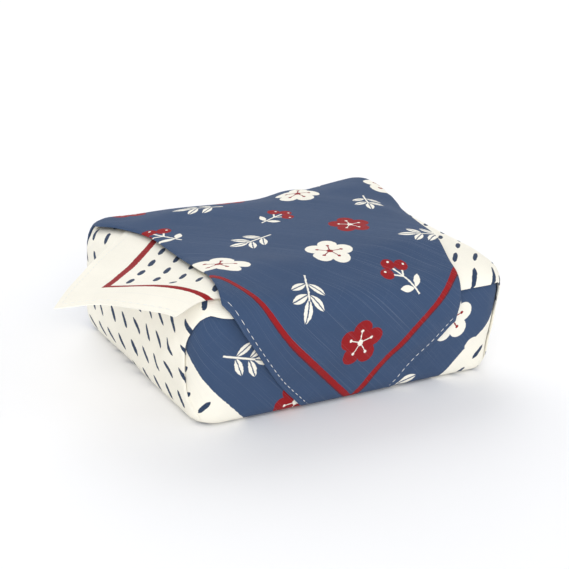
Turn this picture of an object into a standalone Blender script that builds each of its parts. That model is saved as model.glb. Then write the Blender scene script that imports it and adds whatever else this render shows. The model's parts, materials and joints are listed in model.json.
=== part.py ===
"""Furoshiki wrap: one square cotton cloth folded flat round a box shape, no knot.

The cloth lies corner-wise under the box. Its front corner is folded over the top first,
then the left one, then the right one, whose tip sticks out past the left end, and last
the back one, whose tip is tucked under the front. All work is in millimetres on the flat
cloth: p runs along the box, q across it, both from the middle of the cloth. The finished
object is scaled to metres. +X runs along the box, the front faces -Y and +Z is up.
"""

import bmesh
import bpy
import numpy as np

# Sizes of the cloth, in mm
CLOTH_SIDE = 500.0
CLOTH_THICKNESS = 1.0
LAYER_PITCH = 1.25
# Where the cloth's middle lies, to the left of the box's middle and in front of it, in mm
SHIFT_LEFT = 5.0
SHIFT_FRONT = 14.0

# The box shape that the inmost layer lies on, in mm
HALF_LENGTH = 81.0
HALF_DEPTH = 61.0
BOX_HEIGHT = 48.5
PLAN_RADIUS = 11.0
EDGE_RADIUS = 5.5

# The left flap's fold edge stops short of the front on the wall and laps down it at the top
LEFT_SHORT = 14.0
LEFT_SHORT_START = 15.0
LEFT_SHORT_END = 28.0
LEFT_TOP_LAP = 4.0
LEFT_TOP_RUN = 14.0

# The right flap laps over the front: beside the end, below the top, and at their corner
RIGHT_WALL_LAP = 1.5
RIGHT_TOP_LAP = 4.0
RIGHT_CORNER_HEIGHT = 9.0
RIGHT_CORNER_WIDTH = 4.0
RIGHT_LAP_START = 16.0
RIGHT_SHORT = 8.0
RIGHT_SHORT_START = 150.0
RIGHT_SHORT_LENGTH = 40.0
RIGHT_SHORT_END = 205.0
RIGHT_SHORT_FADE = 30.0
UNDERFOLD_RUN = 50.0
LEFT_TIP_BACKFOLD = 4.0
BEND_WIDTH = 1.4

# How far the last flap's sides are folded in: width, start up the back and length, in mm
LEFT_TAPER = ((14.0, 48.5, 45.0), (-8.0, 125.5, 55.0))
RIGHT_TAPER = ((29.0, 60.5, 124.0),)
# Cloth that the last flap takes up in small wrinkles on its way to the front, in mm
BACK_SLACK = 16.0
BACK_SLACK_RIGHT = 5.0
BACK_SKEW = 2.0
SLACK_START = 20.0
SLACK_LENGTH = 150.0
# The right flap lies a little askew, so its tip comes nearer the front, in mm
RIGHT_SKEW = 10.0
RIGHT_SKEW_LENGTH = 220.0

# Form of the tip that sticks out on the left, in mm and radians
TIP_START = 14.0
TIP_CURVE = 46.0
TIP_DROOP = 0.15
TIP_SHARE = 0.6
DROOP_START = 20.0
DROOP_BLEND = 30.0
FREE_START = 56.0
FREE_BLEND = 16.0

# Spacing of the cuts across the flat cloth, and how far the layers take to change height
ROW_SPACING = 24.0
EDGE_BLEND = 26.0
WALL_BLEND = 28.0
FOOT_BLEND = 12.0
FLARE = 0.35

MM = 0.001
HALF_DIAGONAL = CLOTH_SIDE / np.sqrt(2.0)
OVER_TOP_X = BOX_HEIGHT + 2.0 * HALF_LENGTH
OVER_TOP_Y = BOX_HEIGHT + 2.0 * HALF_DEPTH
BACKFOLD = OVER_TOP_X - LEFT_TIP_BACKFOLD

# Height of each folded area in layers: on a wall, at the top edges and in mid top
COLUMNS = ("wall", "front", "left", "right", "back", "top")
LAYERS = {
    "front flap": (0.0, 0.0, 0.0, 0.0, 0.0, 0.0),
    "front left pleat": (1.0, 0.5, 1.0, 1.0, 1.0, 1.0),
    "front left turn": (0.0, 0.7, 2.0, 2.0, 2.0, 2.0),
    "left flap underfold": (1.0, 1.0, 3.0, 1.0, 1.0, 3.0),
    "left flap": (2.0, 2.0, 4.0, 1.0, 1.0, 4.0),
    "left flap backfold": (2.0, 2.0, 4.0, 2.0, 2.0, 3.0),
    "front right pleat": (1.0, 0.5, 3.0, 3.0, 1.0, 4.0),
    "front right turn": (0.0, 0.7, 4.0, 4.0, 2.0, 5.0),
    "right flap underfold": (1.0, 3.0, 4.5, 5.0, 2.0, 6.0),
    "right flap": (2.0, 4.0, 5.0, 6.0, 2.0, 7.0),
    "back right pleat": (1.0, 4.5, 5.5, 6.3, 3.0, 8.0),
    "back left pleat": (1.0, 4.5, 5.3, 6.5, 4.0, 9.0),
    "back turn": (1.0, 4.7, 5.6, 6.7, 5.0, 10.0),
    "back flap underfold": (2.0, 5.0, 6.0, 7.0, 6.0, 11.0),
    "back flap": (3.0, 6.0, 7.0, 8.0, 7.0, 12.0),
}
FRONT_HANG = 1.3
HANG_START = 13.0
UNDERSIDE_LIFT = 1.15
UNDERSIDE_REACH = 48.0

# The left flap lies lower on the right half of the top: by layers, from x, over a length
LOW_LAYERS = 2.0
LOW_START = -15.0
LOW_LENGTH = 30.0

# Soft rise and fall of the top, in mm: an even wave, then single hills and hollows, each
# with its height, its place along x and y and its width along both
WAVE_HEIGHT = 1.2
WAVE_LENGTH_X = 24.0
WAVE_LENGTH_Y = 31.0
WAVE_SHIFT = 0.6
HILLS = (
    (5.0, 66.0, 58.0, 26.0, 26.0),
    (-2.4, -58.0, 8.0, 14.0, 50.0),
)

# Cuts beside the creases of the flat cloth, in mm from the crease
TOP_CUTS = (-16.0, -8.0, -3.5, 0.0, 3.5, 8.0, 16.0)
BOX_CUTS = (-12.0, -5.5, -BEND_WIDTH, 0.0, BEND_WIDTH, 5.5, 12.0)
SHARP_CUTS = (-BEND_WIDTH, 0.0, BEND_WIDTH)
TUCK_CUTS = (-6.0, 0.0, 6.0)
LEAST_GAP = 0.9
MARGIN = 55.0
HEM_ROOM = 30.0


def ease(x):
    """Runs smoothly from 0 to 1 as x does."""
    x = np.clip(x, 0.0, 1.0)
    return x * x * (3.0 - 2.0 * x)


def mix(a, b, share):
    return a + (b - a) * share


def round_plan(x, y):
    """Rounds the box outline: returns the moved point, its depth inside and its normal."""
    inner_x = HALF_LENGTH - PLAN_RADIUS
    inner_y = HALF_DEPTH - PLAN_RADIUS
    over_x = np.abs(x) - inner_x
    over_y = np.abs(y) - inner_y
    in_corner = (over_x > 0) & (over_y > 0)
    length = np.maximum(np.hypot(over_x, over_y), 1e-9)
    reach = np.maximum(over_x, over_y)
    to_x = np.where(in_corner, over_x / length, (over_x > over_y) * 1.0)
    to_y = np.where(in_corner, over_y / length, (over_x <= over_y) * 1.0)
    new_x = np.where(in_corner, inner_x + to_x * reach, np.abs(x))
    new_y = np.where(in_corner, inner_y + to_y * reach, np.abs(y))
    sign_x = np.where(x < 0, -1.0, 1.0)
    sign_y = np.where(y < 0, -1.0, 1.0)
    depth = PLAN_RADIUS - reach
    return new_x * sign_x, new_y * sign_y, depth, to_x * sign_x, to_y * sign_y


def round_box(x, y, z, beside, above):
    """Moves a point of the sharp box onto the rounded one, its layers' width outside it."""
    x, y, depth, to_x, to_y = round_plan(x, y)
    seat = np.maximum(depth, EDGE_RADIUS)
    level = np.clip(z, EDGE_RADIUS, BOX_HEIGHT - EDGE_RADIUS)
    out = seat - depth
    up = z - level
    length = np.maximum(np.hypot(out, up), 1e-9)
    reach = out * (EDGE_RADIUS + beside) / length - out
    return x + to_x * reach, y + to_y * reach, level + up * (EDGE_RADIUS + above) / length


def layer_height(name, x, y, z):
    """How far outside the inmost layer the named area lies, sideways and upward."""
    row = dict(zip(COLUMNS, LAYERS[name]))
    top = row["top"]
    if name in ("left flap", "left flap underfold"):
        top = top - LOW_LAYERS * ease((x - LOW_START) / LOW_LENGTH)
    near_left = ease(1.0 - (x + HALF_LENGTH) / EDGE_BLEND)
    near_right = ease(1.0 - (HALF_LENGTH - x) / EDGE_BLEND)
    near_front = ease(1.0 - (y + HALF_DEPTH) / EDGE_BLEND)
    near_back = ease(1.0 - (HALF_DEPTH - y) / EDGE_BLEND)
    layers = mix(top, row["left"], near_left)
    layers = mix(layers, row["right"], near_right)
    layers = mix(layers, row["front"], near_front)
    layers = mix(layers, row["back"], near_back)
    wall = row["wall"] * ease(z / FOOT_BLEND)
    if name in ("back flap", "back flap underfold"):
        hang = mix(FRONT_HANG, row["wall"], ease((z - HANG_START) / HANG_START))
        wall = np.where(y < 0, hang, wall)
    flare = FLARE * ease((z - BOX_HEIGHT + WALL_BLEND) / WALL_BLEND)
    beside = mix(wall, np.maximum(layers, wall), flare)
    above = np.where(z > 0.5 * BOX_HEIGHT, layers, wall)
    return np.array((beside, above)) * LAYER_PITCH


def taper(side, t):
    """How far the last flap is folded in on one side, t mm up the back and over the top."""
    rows = LEFT_TAPER if side < 0 else RIGHT_TAPER
    return sum(width * ease((t - start) / length) for width, start, length in rows)


def left_lap(t):
    """Width of the left flap's lap over the front at its length t; under 0 it stops short."""
    short = LEFT_SHORT * ease(t / LEFT_SHORT_START)
    short = short * ease((BOX_HEIGHT - t) / (BOX_HEIGHT - LEFT_SHORT_END))
    return LEFT_TOP_LAP * ease((t - BOX_HEIGHT) / LEFT_TOP_RUN) - short


def right_lap(t):
    """The right flap's fold edge on the front face: along from the end, and height.

    A height over the top edge means that the fold edge stops short of the front.
    """
    wall = RIGHT_WALL_LAP * ease(t / RIGHT_LAP_START)
    start = BOX_HEIGHT - RIGHT_CORNER_HEIGHT
    finish = BOX_HEIGHT + wall + RIGHT_CORNER_WIDTH
    angle = np.clip((t - start) / (finish - start), 0.0, 1.0) * np.pi / 2.0
    along = wall + RIGHT_CORNER_WIDTH * (1.0 - np.cos(angle)) + np.maximum(t - finish, 0.0)
    height = np.minimum(t, start) + (RIGHT_CORNER_HEIGHT - RIGHT_TOP_LAP) * np.sin(angle)
    short = ease((t - RIGHT_SHORT_START) / RIGHT_SHORT_LENGTH)
    short = short - ease((t - RIGHT_SHORT_END) / RIGHT_SHORT_FADE)
    return along, height + RIGHT_SHORT * short


def lap_width(p):
    """Width of cloth that laps over the front at the flap's length p, or under 0."""
    t = np.maximum(np.abs(p) - HALF_LENGTH, 0.0)
    along, height = right_lap(t)
    seat = np.maximum(t - BOX_HEIGHT, 0.0)
    right = np.hypot(along - seat, height - np.minimum(t, BOX_HEIGHT))
    right = right * np.where(height > BOX_HEIGHT, -1.0, 1.0)
    return np.where(p < 0, left_lap(t), right)


def underfold_share(p, s):
    """How much of the lap is left s mm inside the fold edge of a side flap."""
    run = np.clip(np.abs(p) - HALF_LENGTH, 1.0, UNDERFOLD_RUN)
    return np.clip(1.0 - s / run, 0.0, 1.0)


def side_flap_front(p, inward):
    """A point of a side flap near its front edge; inward is under 0 on the lap."""
    side = np.where(p < 0, -1.0, 1.0)
    t = np.abs(p) - HALF_LENGTH
    on_wall = t < BOX_HEIGHT
    seat_x = np.where(on_wall, HALF_LENGTH, HALF_LENGTH - (t - BOX_HEIGHT))
    seat_z = np.where(on_wall, t, BOX_HEIGHT)
    along, height = right_lap(np.maximum(t, 0.0))
    edge_x = np.where(p < 0, seat_x, HALF_LENGTH - along)
    edge_z = np.where(p < 0, seat_z - left_lap(np.maximum(t, 0.0)), height)
    share = np.clip(-inward / np.maximum(lap_width(p), 1e-6), 0.0, 1.0)
    lapped = inward < 0
    x = np.where(lapped, mix(seat_x, edge_x, share), seat_x) * side
    y = np.where(lapped, -HALF_DEPTH, -HALF_DEPTH + inward)
    z = np.where(lapped, mix(seat_z, edge_z, share), seat_z)
    return x, y, z


def side_flap(p, q):
    """Left or right flap: up its end, over the top and past the other end."""
    side = np.where(p < 0, -1.0, 1.0)
    t = np.abs(p) - HALF_LENGTH
    inward = mix(HALF_DEPTH, -lap_width(p), -q / HALF_DEPTH)
    front_half = side_flap_front(p, inward)
    x = (HALF_LENGTH - np.maximum(t - BOX_HEIGHT, 0.0)) * side
    back_half = (x, q, np.minimum(t, BOX_HEIGHT))
    return [np.where(q < 0, a, b) for a, b in zip(front_half, back_half)]


def front_underfold(p, q):
    """The cloth folded back under a side flap along its front edge."""
    s = -q - HALF_DEPTH
    return side_flap_front(p, s - lap_width(p) * underfold_share(p, s))


def squeeze(d):
    """Keeps the inner ends of the two back pleats clear of each other."""
    spare = HALF_DIAGONAL + SHIFT_LEFT - SHIFT_FRONT - HALF_LENGTH - HALF_DEPTH
    start = 0.5 * (spare - BOX_HEIGHT)
    longest = start + 0.5 * BOX_HEIGHT
    room = HALF_LENGTH - 1.0
    share = np.clip((room - start) / max(longest - start, 1.0), 0.0, 1.0)
    return np.where(d > start, start + (d - start) * share, d)


def corner_fold(early, late, fits):
    """Folds a corner's spare cloth; early and late are its mm past the two box edges.

    Returns its run along the flap folded first (back inwards), its run along the flap
    folded last and its height, each in mm from the box corner, with the area's number.
    """
    over_early = early - BOX_HEIGHT
    over_late = late - BOX_HEIGHT
    turned_under = late > early
    first_wall = ~turned_under & (over_early <= 0)
    pleat = ~turned_under & (over_early > 0) & (late < over_early)
    turn = ~turned_under & (over_early > 0) & (late >= over_early)
    last_top = turned_under & (over_late > 0)
    bent = squeeze if fits else (lambda d: d)
    along = np.where(turned_under, bent(early), bent(late))
    along = np.where(pleat, over_early, along)
    across = np.where(pleat, late, np.where(turn, over_early, 0.0))
    across = np.where(last_top, over_late, across)
    height = np.where(first_wall, early, np.where(turned_under & ~last_top, late, BOX_HEIGHT))
    return along, across, height, np.where(pleat, 0, np.where(turned_under, 2, 1))


def tip_droop(x, y):
    """How far the first-laid right flap sags where nothing carries it on the left."""
    inset_x = HALF_LENGTH - TIP_START - PLAN_RADIUS
    inset_y = HALF_DEPTH - TIP_START * TIP_SHARE - PLAN_RADIUS
    out_x = np.maximum(-x - inset_x, 0.0)
    out_y = np.maximum(np.abs(y) - inset_y, 0.0)
    out = np.maximum(np.hypot(out_x, out_y) - PLAN_RADIUS, 0.0)
    curved = np.minimum(out, TIP_CURVE)
    sag = TIP_DROOP * (curved * curved / (2.0 * TIP_CURVE) + np.maximum(out - TIP_CURVE, 0.0))
    return sag * ease((-x - DROOP_START) / DROOP_BLEND)


def swell(x, y):
    """The soft rise and fall of the top, in mm."""
    rise = WAVE_HEIGHT * np.sin(x / WAVE_LENGTH_X + WAVE_SHIFT) * np.cos(y / WAVE_LENGTH_Y)
    for row in HILLS:
        height, at_x, at_y, width_x, width_y = row
        rise = rise + height * np.exp(-(((x - at_x) / width_x) ** 2) - ((y - at_y) / width_y) ** 2)
    return rise


def fold(p, q):
    """Takes points of the marked-out flat cloth to the middle of the folded cloth."""
    p, q = np.broadcast_arrays(np.asarray(p, float), np.asarray(q, float))
    x, y, z = p.copy(), q.copy(), np.zeros(p.shape)
    height = np.zeros((2,) + p.shape)
    wide = np.abs(p) > HALF_LENGTH
    deep = np.abs(q) > HALF_DEPTH

    def put(mask, name, points):
        x[mask], y[mask], z[mask] = points
        height[:, mask] = layer_height(name, *points)

    # Underside, lifted a little over the tip that is tucked beneath it
    m = ~wide & ~deep
    near_tip = ease(1.0 - np.abs(p[m]) / UNDERSIDE_REACH)
    near_tip = near_tip * ease(1.0 - (q[m] + HALF_DEPTH) / UNDERSIDE_REACH)
    height[:, m] = -UNDERSIDE_LIFT * LAYER_PITCH * near_tip

    # Front flap: up the front, over the top, down inside the back, along the inside
    m = ~wide & (q < -HALF_DEPTH)
    s = -q[m] - HALF_DEPTH
    over = s - BOX_HEIGHT
    down = s - OVER_TOP_Y
    under = down - BOX_HEIGHT
    y_m = np.where(over < 0, -HALF_DEPTH, np.minimum(-HALF_DEPTH + over, HALF_DEPTH))
    y_m = np.where(under > 0, HALF_DEPTH - under, y_m)
    z_m = np.where(over < 0, s, np.where(down > 0, np.maximum(BOX_HEIGHT - down, 0), BOX_HEIGHT))
    put(m, "front flap", (p[m], y_m, z_m))
    height[:, m] -= np.where(under > 0, LAYER_PITCH, 0.0)

    # Left flap, with its tip folded back on itself over the right end
    m = (p < -HALF_LENGTH) & ~deep
    folded_p = np.maximum(p, -2.0 * (HALF_LENGTH + BACKFOLD) - p)
    folded_p = np.where(p < 0, folded_p, p)
    back = folded_p[m] > p[m]
    points = side_flap(folded_p[m], q[m])
    put(m, "left flap", points)
    raised = layer_height("left flap backfold", *points)
    height[:, m] = np.where(back, raised, height[:, m])

    # Right flap, with its tip sticking out past the left end
    m = (p > HALF_LENGTH) & ~deep
    put(m, "right flap", side_flap(p[m], q[m]))

    # Back flap: up the back, over the top, down the front and under it
    m = ~wide & (q > HALF_DEPTH)
    t = q[m] - HALF_DEPTH
    over = t - BOX_HEIGHT
    down = t - OVER_TOP_Y
    under = down - BOX_HEIGHT
    narrow = np.where(p[m] < 0, taper(-1, t), taper(1, t))
    x_m = p[m] * (1.0 - narrow / HALF_LENGTH)
    y_m = np.where(over < 0, HALF_DEPTH, np.maximum(HALF_DEPTH - over, -HALF_DEPTH))
    y_m = np.where(under > 0, -HALF_DEPTH + under, y_m)
    z_m = np.where(over < 0, t, np.where(down > 0, np.maximum(BOX_HEIGHT - down, 0), BOX_HEIGHT))
    put(m, "back flap", (x_m, y_m, z_m))
    ground = ease((down - BOX_HEIGHT + EDGE_RADIUS) / EDGE_RADIUS)
    height[1][m] = mix(height[1][m], 0.0, ground)

    # Corners: the early flap's spare cloth goes round the box edge and back under the late one
    corners = (
        (-1, -1, ("front left pleat", "front left turn", "left flap underfold")),
        (1, -1, ("front right pleat", "front right turn", "right flap underfold")),
        (-1, 1, ("back left pleat", "back turn", "back flap underfold")),
        (1, 1, ("back right pleat", "back turn", "back flap underfold")),
    )
    for side, face, names in corners:
        m = wide & deep & (p * side > 0) & (q * face > 0)
        if not m.any():
            continue
        end_run = np.abs(p[m]) - HALF_LENGTH
        face_run = np.abs(q[m]) - HALF_DEPTH
        if face < 0:
            along, across, z_m, area = corner_fold(face_run, end_run, False)
            z_m = z_m - np.maximum(along - 2.0 * HALF_DEPTH, 0.0)
            along = np.minimum(along, 2.0 * HALF_DEPTH)
            lapped = front_underfold(folded_p[m], q[m])
            y_m = np.where(area == 2, lapped[1], -HALF_DEPTH + along)
            x_m = np.where(area == 2, lapped[0], side * (HALF_LENGTH - across))
            z_m = np.where(area == 2, lapped[2], z_m)
        else:
            along, across, z_m, area = corner_fold(end_run, face_run, True)
            x_m = side * (HALF_LENGTH - along - taper(side, BOX_HEIGHT + across))
            z_m = z_m - np.maximum(across - 2.0 * HALF_DEPTH, 0.0)
            y_m = np.maximum(HALF_DEPTH - across, -HALF_DEPTH)
        x[m], y[m], z[m] = x_m, y_m, z_m
        heights = [layer_height(name, x_m, y_m, z_m) for name in names]
        height[:, m] = np.choose(area, heights)
        height[:, m] -= np.where(folded_p[m] > p[m], LAYER_PITCH, 0.0)

    # Where the right flap passes the left end it is carried by nothing and sags
    free = np.where(p > HALF_LENGTH, ease((-x - FREE_START) / FREE_BLEND), 0.0)
    x_r, y_r, z_r = round_box(x, y, z, height[0], height[1])
    x_r = mix(x_r, x, free)
    y_r = mix(y_r, y - np.where(y < 0, BOX_HEIGHT - z, 0.0), free)
    z_r = mix(z_r, BOX_HEIGHT + height[1] - tip_droop(x, y), free)
    on_top = ease((z_r - BOX_HEIGHT + 4.0) / 14.0)
    return x_r, y_r, z_r + swell(x_r, y_r) * on_top


def soft_fold(p, q, width):
    """The folded cloth with each crease rounded over this width."""
    total = np.zeros((3,) + np.shape(p))
    steps = (-width, -0.5 * width, 0.0, 0.5 * width, width)
    for dp in steps:
        for dq in steps:
            total += np.array(fold(p + dp, q + dq))
    return total / len(steps) ** 2


def flap_lengths():
    """Cloth used from the middle of the box out along each flap, as four tables."""
    run = np.arange(0.0, 420.0, 1.0)
    tables = {}
    for name, dp, dq in (("left", -1, 0), ("right", 1, 0), ("front", 0, -1), ("back", 0, 1)):
        path = np.array(soft_fold(run * dp + 1e-4, run * dq + 1e-4, BEND_WIDTH))
        steps = np.linalg.norm(np.diff(path, axis=1), axis=0)
        tables[name] = (run, np.concatenate([[0.0], np.cumsum(steps)]))
    return tables


def to_cloth(p, q, tables):
    """Marked-out position to true position on the square cloth."""
    along = np.where(p < 0, np.interp(-p, *tables["left"]), np.interp(p, *tables["right"]))
    across = np.where(q < 0, np.interp(-q, *tables["front"]), np.interp(q, *tables["back"]))
    t = q - HALF_DEPTH
    narrow = np.where(p < 0, taper(-1, t), taper(1, t))
    share = np.minimum(np.abs(p) / HALF_LENGTH, 1.0)
    along = along - np.where(q > HALF_DEPTH, narrow * share, 0.0)
    late = ease((t - SLACK_START) / SLACK_LENGTH)
    slack = BACK_SLACK + BACK_SLACK_RIGHT * ease(0.5 + 0.5 * p / HALF_LENGTH)
    across = across + slack * late
    s = np.maximum(-q - HALF_DEPTH, 0.0)
    share = np.minimum(np.abs(q) / HALF_DEPTH, 1.0) * underfold_share(p, s)
    side = (q < 0) & (np.abs(p) > HALF_LENGTH)
    across = across + np.where(side, lap_width(p) * share, 0.0)
    skew = RIGHT_SKEW * ease((p - HALF_LENGTH) / RIGHT_SKEW_LENGTH)
    along = along * np.sign(p) + SHIFT_LEFT - BACK_SKEW * late
    return along, across * np.sign(q) + SHIFT_FRONT + skew


def marks(centres, offsets):
    """Sorted positions of the cuts: bends at the creases, and plain rows between them."""
    found = sorted({c + o for c, offs in zip(centres, offsets) for o in offs})
    rows = [found[0]]
    for value in found[1:]:
        gap = value - rows[-1]
        if gap < LEAST_GAP:
            continue
        count = int(gap // ROW_SPACING)
        start = rows[-1]
        rows += [start + gap * (i + 1) / (count + 1) for i in range(count)]
        rows.append(value)
    return rows


def flat_rows():
    """Cuts across the flat cloth along p and along q."""
    reach = HALF_DIAGONAL + MARGIN
    top_x = HALF_LENGTH + BOX_HEIGHT
    far_left = -HALF_LENGTH - BACKFOLD
    far_right = HALF_LENGTH + OVER_TOP_X
    p_rows = marks(
        (-reach, far_left, -top_x, -HALF_LENGTH, 0.0, HALF_LENGTH, top_x, far_right, reach),
        ((0.0,), SHARP_CUTS, TOP_CUTS, BOX_CUTS, (0.0,), BOX_CUTS, TOP_CUTS, TOP_CUTS, (0.0,)),
    )
    top_y = HALF_DEPTH + BOX_HEIGHT
    far_y = HALF_DEPTH + OVER_TOP_Y
    under_y = far_y + BOX_HEIGHT
    centres = (-reach, -under_y, -far_y, -top_y, -HALF_DEPTH, 0.0)
    centres += (HALF_DEPTH, top_y, far_y, under_y, reach)
    low = ((0.0,), (0.0,), TOP_CUTS, TOP_CUTS, BOX_CUTS, (0.0,))
    high = (BOX_CUTS, TOP_CUTS, TOP_CUTS, TUCK_CUTS, (0.0,))
    return p_rows, marks(centres, low + high)


def cut(mesh, inside, point, normal, clear=False):
    """Cuts the faces that the test picks along one line of the flat cloth."""
    faces = [f for f in mesh.faces if inside(*f.calc_center_median()[:2])]
    edges = {e for f in faces for e in f.edges}
    verts = {v for f in faces for v in f.verts}
    bmesh.ops.bisect_plane(
        mesh,
        geom=list(verts) + list(edges) + faces,
        dist=0.01,
        plane_co=(point[0], point[1], 0.0),
        plane_no=(normal[0], normal[1], 0.0),
        clear_outer=clear,
    )


def cut_corner_creases(mesh):
    """Adds the slanting creases of the four corners, each with a cut on both sides."""
    half = BEND_WIDTH * np.sqrt(2.0)
    for side in (-1.0, 1.0):
        for face in (-1.0, 1.0):

            def in_corner(x, y, side=side, face=face):
                return x * side > HALF_LENGTH and y * face > HALF_DEPTH

            early = np.array((0.0, face) if face < 0 else (side, 0.0))
            late = np.array((side, 0.0) if face < 0 else (0.0, face))
            corner = np.array((side * HALF_LENGTH, face * HALF_DEPTH))
            normal = early - late
            for shift in (-half, 0.0, half):
                cut(mesh, in_corner, corner + early * shift, normal)

            def past_edge(x, y, in_corner=in_corner, corner=corner, early=early):
                return in_corner(x, y) and (np.array((x, y)) - corner) @ early > BOX_HEIGHT

            for shift in (-half, 0.0, half):
                cut(mesh, past_edge, corner + early * (BOX_HEIGHT + shift), normal)


def flat_cloth(tables):
    """The square cloth as one flat mesh, cut along its creases, with the marked-out places."""
    mesh = bmesh.new()
    p_rows, q_rows = flat_rows()
    grid = [[mesh.verts.new((p, q, 0.0)) for q in q_rows] for p in p_rows]
    for i in range(len(p_rows) - 1):
        for j in range(len(q_rows) - 1):
            from_left = [abs(p + SHIFT_LEFT) for p in p_rows[i:i + 2]]
            from_front = [abs(q + SHIFT_FRONT) for q in q_rows[j:j + 2]]
            if min(from_left) + min(from_front) < HALF_DIAGONAL + HEM_ROOM:
                mesh.faces.new((grid[i][j], grid[i + 1][j], grid[i + 1][j + 1], grid[i][j + 1]))
    loose = [v for v in mesh.verts if not v.link_faces]
    bmesh.ops.delete(mesh, geom=loose, context="VERTS")
    cut_corner_creases(mesh)
    places = np.array([v.co[:2] for v in mesh.verts])
    p_true, q_true = to_cloth(places[:, 0], places[:, 1], tables)
    layer_p = mesh.verts.layers.float.new("mark_p")
    layer_q = mesh.verts.layers.float.new("mark_q")
    for vert, place, p, q in zip(mesh.verts, places, p_true, q_true):
        vert[layer_p] = place[0]
        vert[layer_q] = place[1]
        vert.co = (p, q, 0.0)
    for side in (-1.0, 1.0):
        for face in (-1.0, 1.0):
            hem = (side * HALF_DIAGONAL, 0.0)
            cut(mesh, lambda x, y: True, hem, (side, face), clear=True)
    return mesh, layer_p, layer_q


def cloth_material():
    """Plain slate-blue cotton."""
    material = bpy.data.materials.new("slate_cotton")
    material.use_nodes = True
    shader = material.node_tree.nodes["Principled BSDF"]
    shader.inputs["Base Color"].default_value = (0.053, 0.088, 0.165, 1.0)
    shader.inputs["Roughness"].default_value = 0.9
    return material


def build_cloth():
    """Folds the flat cloth and gives it its thickness."""
    tables = flap_lengths()
    mesh, layer_p, layer_q = flat_cloth(tables)
    p = np.array([v[layer_p] for v in mesh.verts])
    q = np.array([v[layer_q] for v in mesh.verts])
    x, y, z = soft_fold(p, q, BEND_WIDTH)
    for vert, spot in zip(mesh.verts, zip(x, y, z)):
        vert.co = [value * MM for value in spot]
    bmesh.ops.triangulate(mesh, faces=mesh.faces[:], quad_method="SHORT_EDGE")
    bmesh.ops.recalc_face_normals(mesh, faces=mesh.faces[:])
    data = bpy.data.meshes.new("wrap_cloth")
    mesh.to_mesh(data)
    mesh.free()
    cloth = bpy.data.objects.new("wrap_cloth", data)
    bpy.context.scene.collection.objects.link(cloth)
    cloth.data.materials.append(cloth_material())
    thick = cloth.modifiers.new("thickness", "SOLIDIFY")
    thick.thickness = CLOTH_THICKNESS * MM
    thick.offset = 0.0
    thick.use_even_offset = False
    return cloth


def main():
    for obj in list(bpy.data.objects):
        bpy.data.objects.remove(obj, do_unlink=True)
    cloth = build_cloth()
    lowest = min(v.co.z for v in cloth.data.vertices)
    cloth.location.z = 0.5 * CLOTH_THICKNESS * MM - lowest


main()
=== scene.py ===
"""Furoshiki wrap: a square printed cotton cloth folded flat round a box shape, no knot.

The cloth is folded here as one thin sheet, on the folds of the solid it stands for. Lengths
of the folding part are millimetres on the flat cloth: p runs along the box and q across it.
"""

import json
import math

import bmesh
import bpy
import numpy as np
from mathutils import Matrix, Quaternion, Vector
from mathutils.bvhtree import BVHTree
from mathutils.geometry import barycentric_transform

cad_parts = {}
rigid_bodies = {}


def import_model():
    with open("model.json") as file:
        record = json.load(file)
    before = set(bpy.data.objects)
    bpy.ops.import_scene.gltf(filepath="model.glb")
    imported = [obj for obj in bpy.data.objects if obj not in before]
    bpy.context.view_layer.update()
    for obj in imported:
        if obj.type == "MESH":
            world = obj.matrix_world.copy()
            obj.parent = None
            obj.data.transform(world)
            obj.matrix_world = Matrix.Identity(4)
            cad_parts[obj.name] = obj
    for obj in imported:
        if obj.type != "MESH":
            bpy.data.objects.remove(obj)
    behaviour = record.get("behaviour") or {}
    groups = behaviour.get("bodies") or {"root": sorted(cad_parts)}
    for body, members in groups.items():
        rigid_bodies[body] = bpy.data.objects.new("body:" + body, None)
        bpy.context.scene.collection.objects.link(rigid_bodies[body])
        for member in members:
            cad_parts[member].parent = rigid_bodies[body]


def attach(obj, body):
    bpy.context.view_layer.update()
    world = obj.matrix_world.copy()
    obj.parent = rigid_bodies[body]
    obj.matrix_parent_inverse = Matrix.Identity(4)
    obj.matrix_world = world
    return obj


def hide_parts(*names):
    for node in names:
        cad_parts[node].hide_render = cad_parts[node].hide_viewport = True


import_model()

bl_info = {
    "name": "Furoshiki wrap",
    "version": (1, 0, 0),
    "blender": (4, 5, 0),
    "location": "View3D > Sidebar > Furoshiki",
    "description": "Builds a printed cotton wrapping cloth folded round a box shape",
    "category": "Object",
}

# Sizes of the cloth, in mm
CLOTH_SIDE = 500.0
CLOTH_THICKNESS = 0.5
LAYER_PITCH = 1.25
# The share of a layer's height that is its own; the rest lifts it toward the outmost layer
OWN_SHARE = 0.56
# Where the cloth's middle lies, to the left of the box's middle and in front of it, in mm
SHIFT_LEFT = 5.0
SHIFT_FRONT = 14.0

# The box shape that the inmost layer lies on, in mm
HALF_LENGTH = 81.0
HALF_DEPTH = 61.0
BOX_HEIGHT = 48.5
PLAN_RADIUS = 11.0
EDGE_RADIUS = 5.5

# The left flap's fold edge stops short of the front on the wall and laps down it at the top
LEFT_SHORT = 11.5
LEFT_SHORT_START = 15.0
LEFT_SHORT_END = 28.0
LEFT_TOP_LAP = 1.0
LEFT_TOP_RUN = 14.0

# The right flap laps over the front: beside the end, below the top, and at their corner
RIGHT_WALL_LAP = 1.5
RIGHT_TOP_LAP = 4.0
RIGHT_CORNER_HEIGHT = 9.0
RIGHT_CORNER_WIDTH = 4.0
RIGHT_LAP_START = 16.0
RIGHT_SHORT = 8.0
RIGHT_SHORT_START = 150.0
RIGHT_SHORT_LENGTH = 40.0
RIGHT_SHORT_END = 205.0
RIGHT_SHORT_FADE = 30.0
UNDERFOLD_RUN = 50.0
LEFT_TIP_BACKFOLD = 4.0
BEND_WIDTH = 1.4

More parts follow.
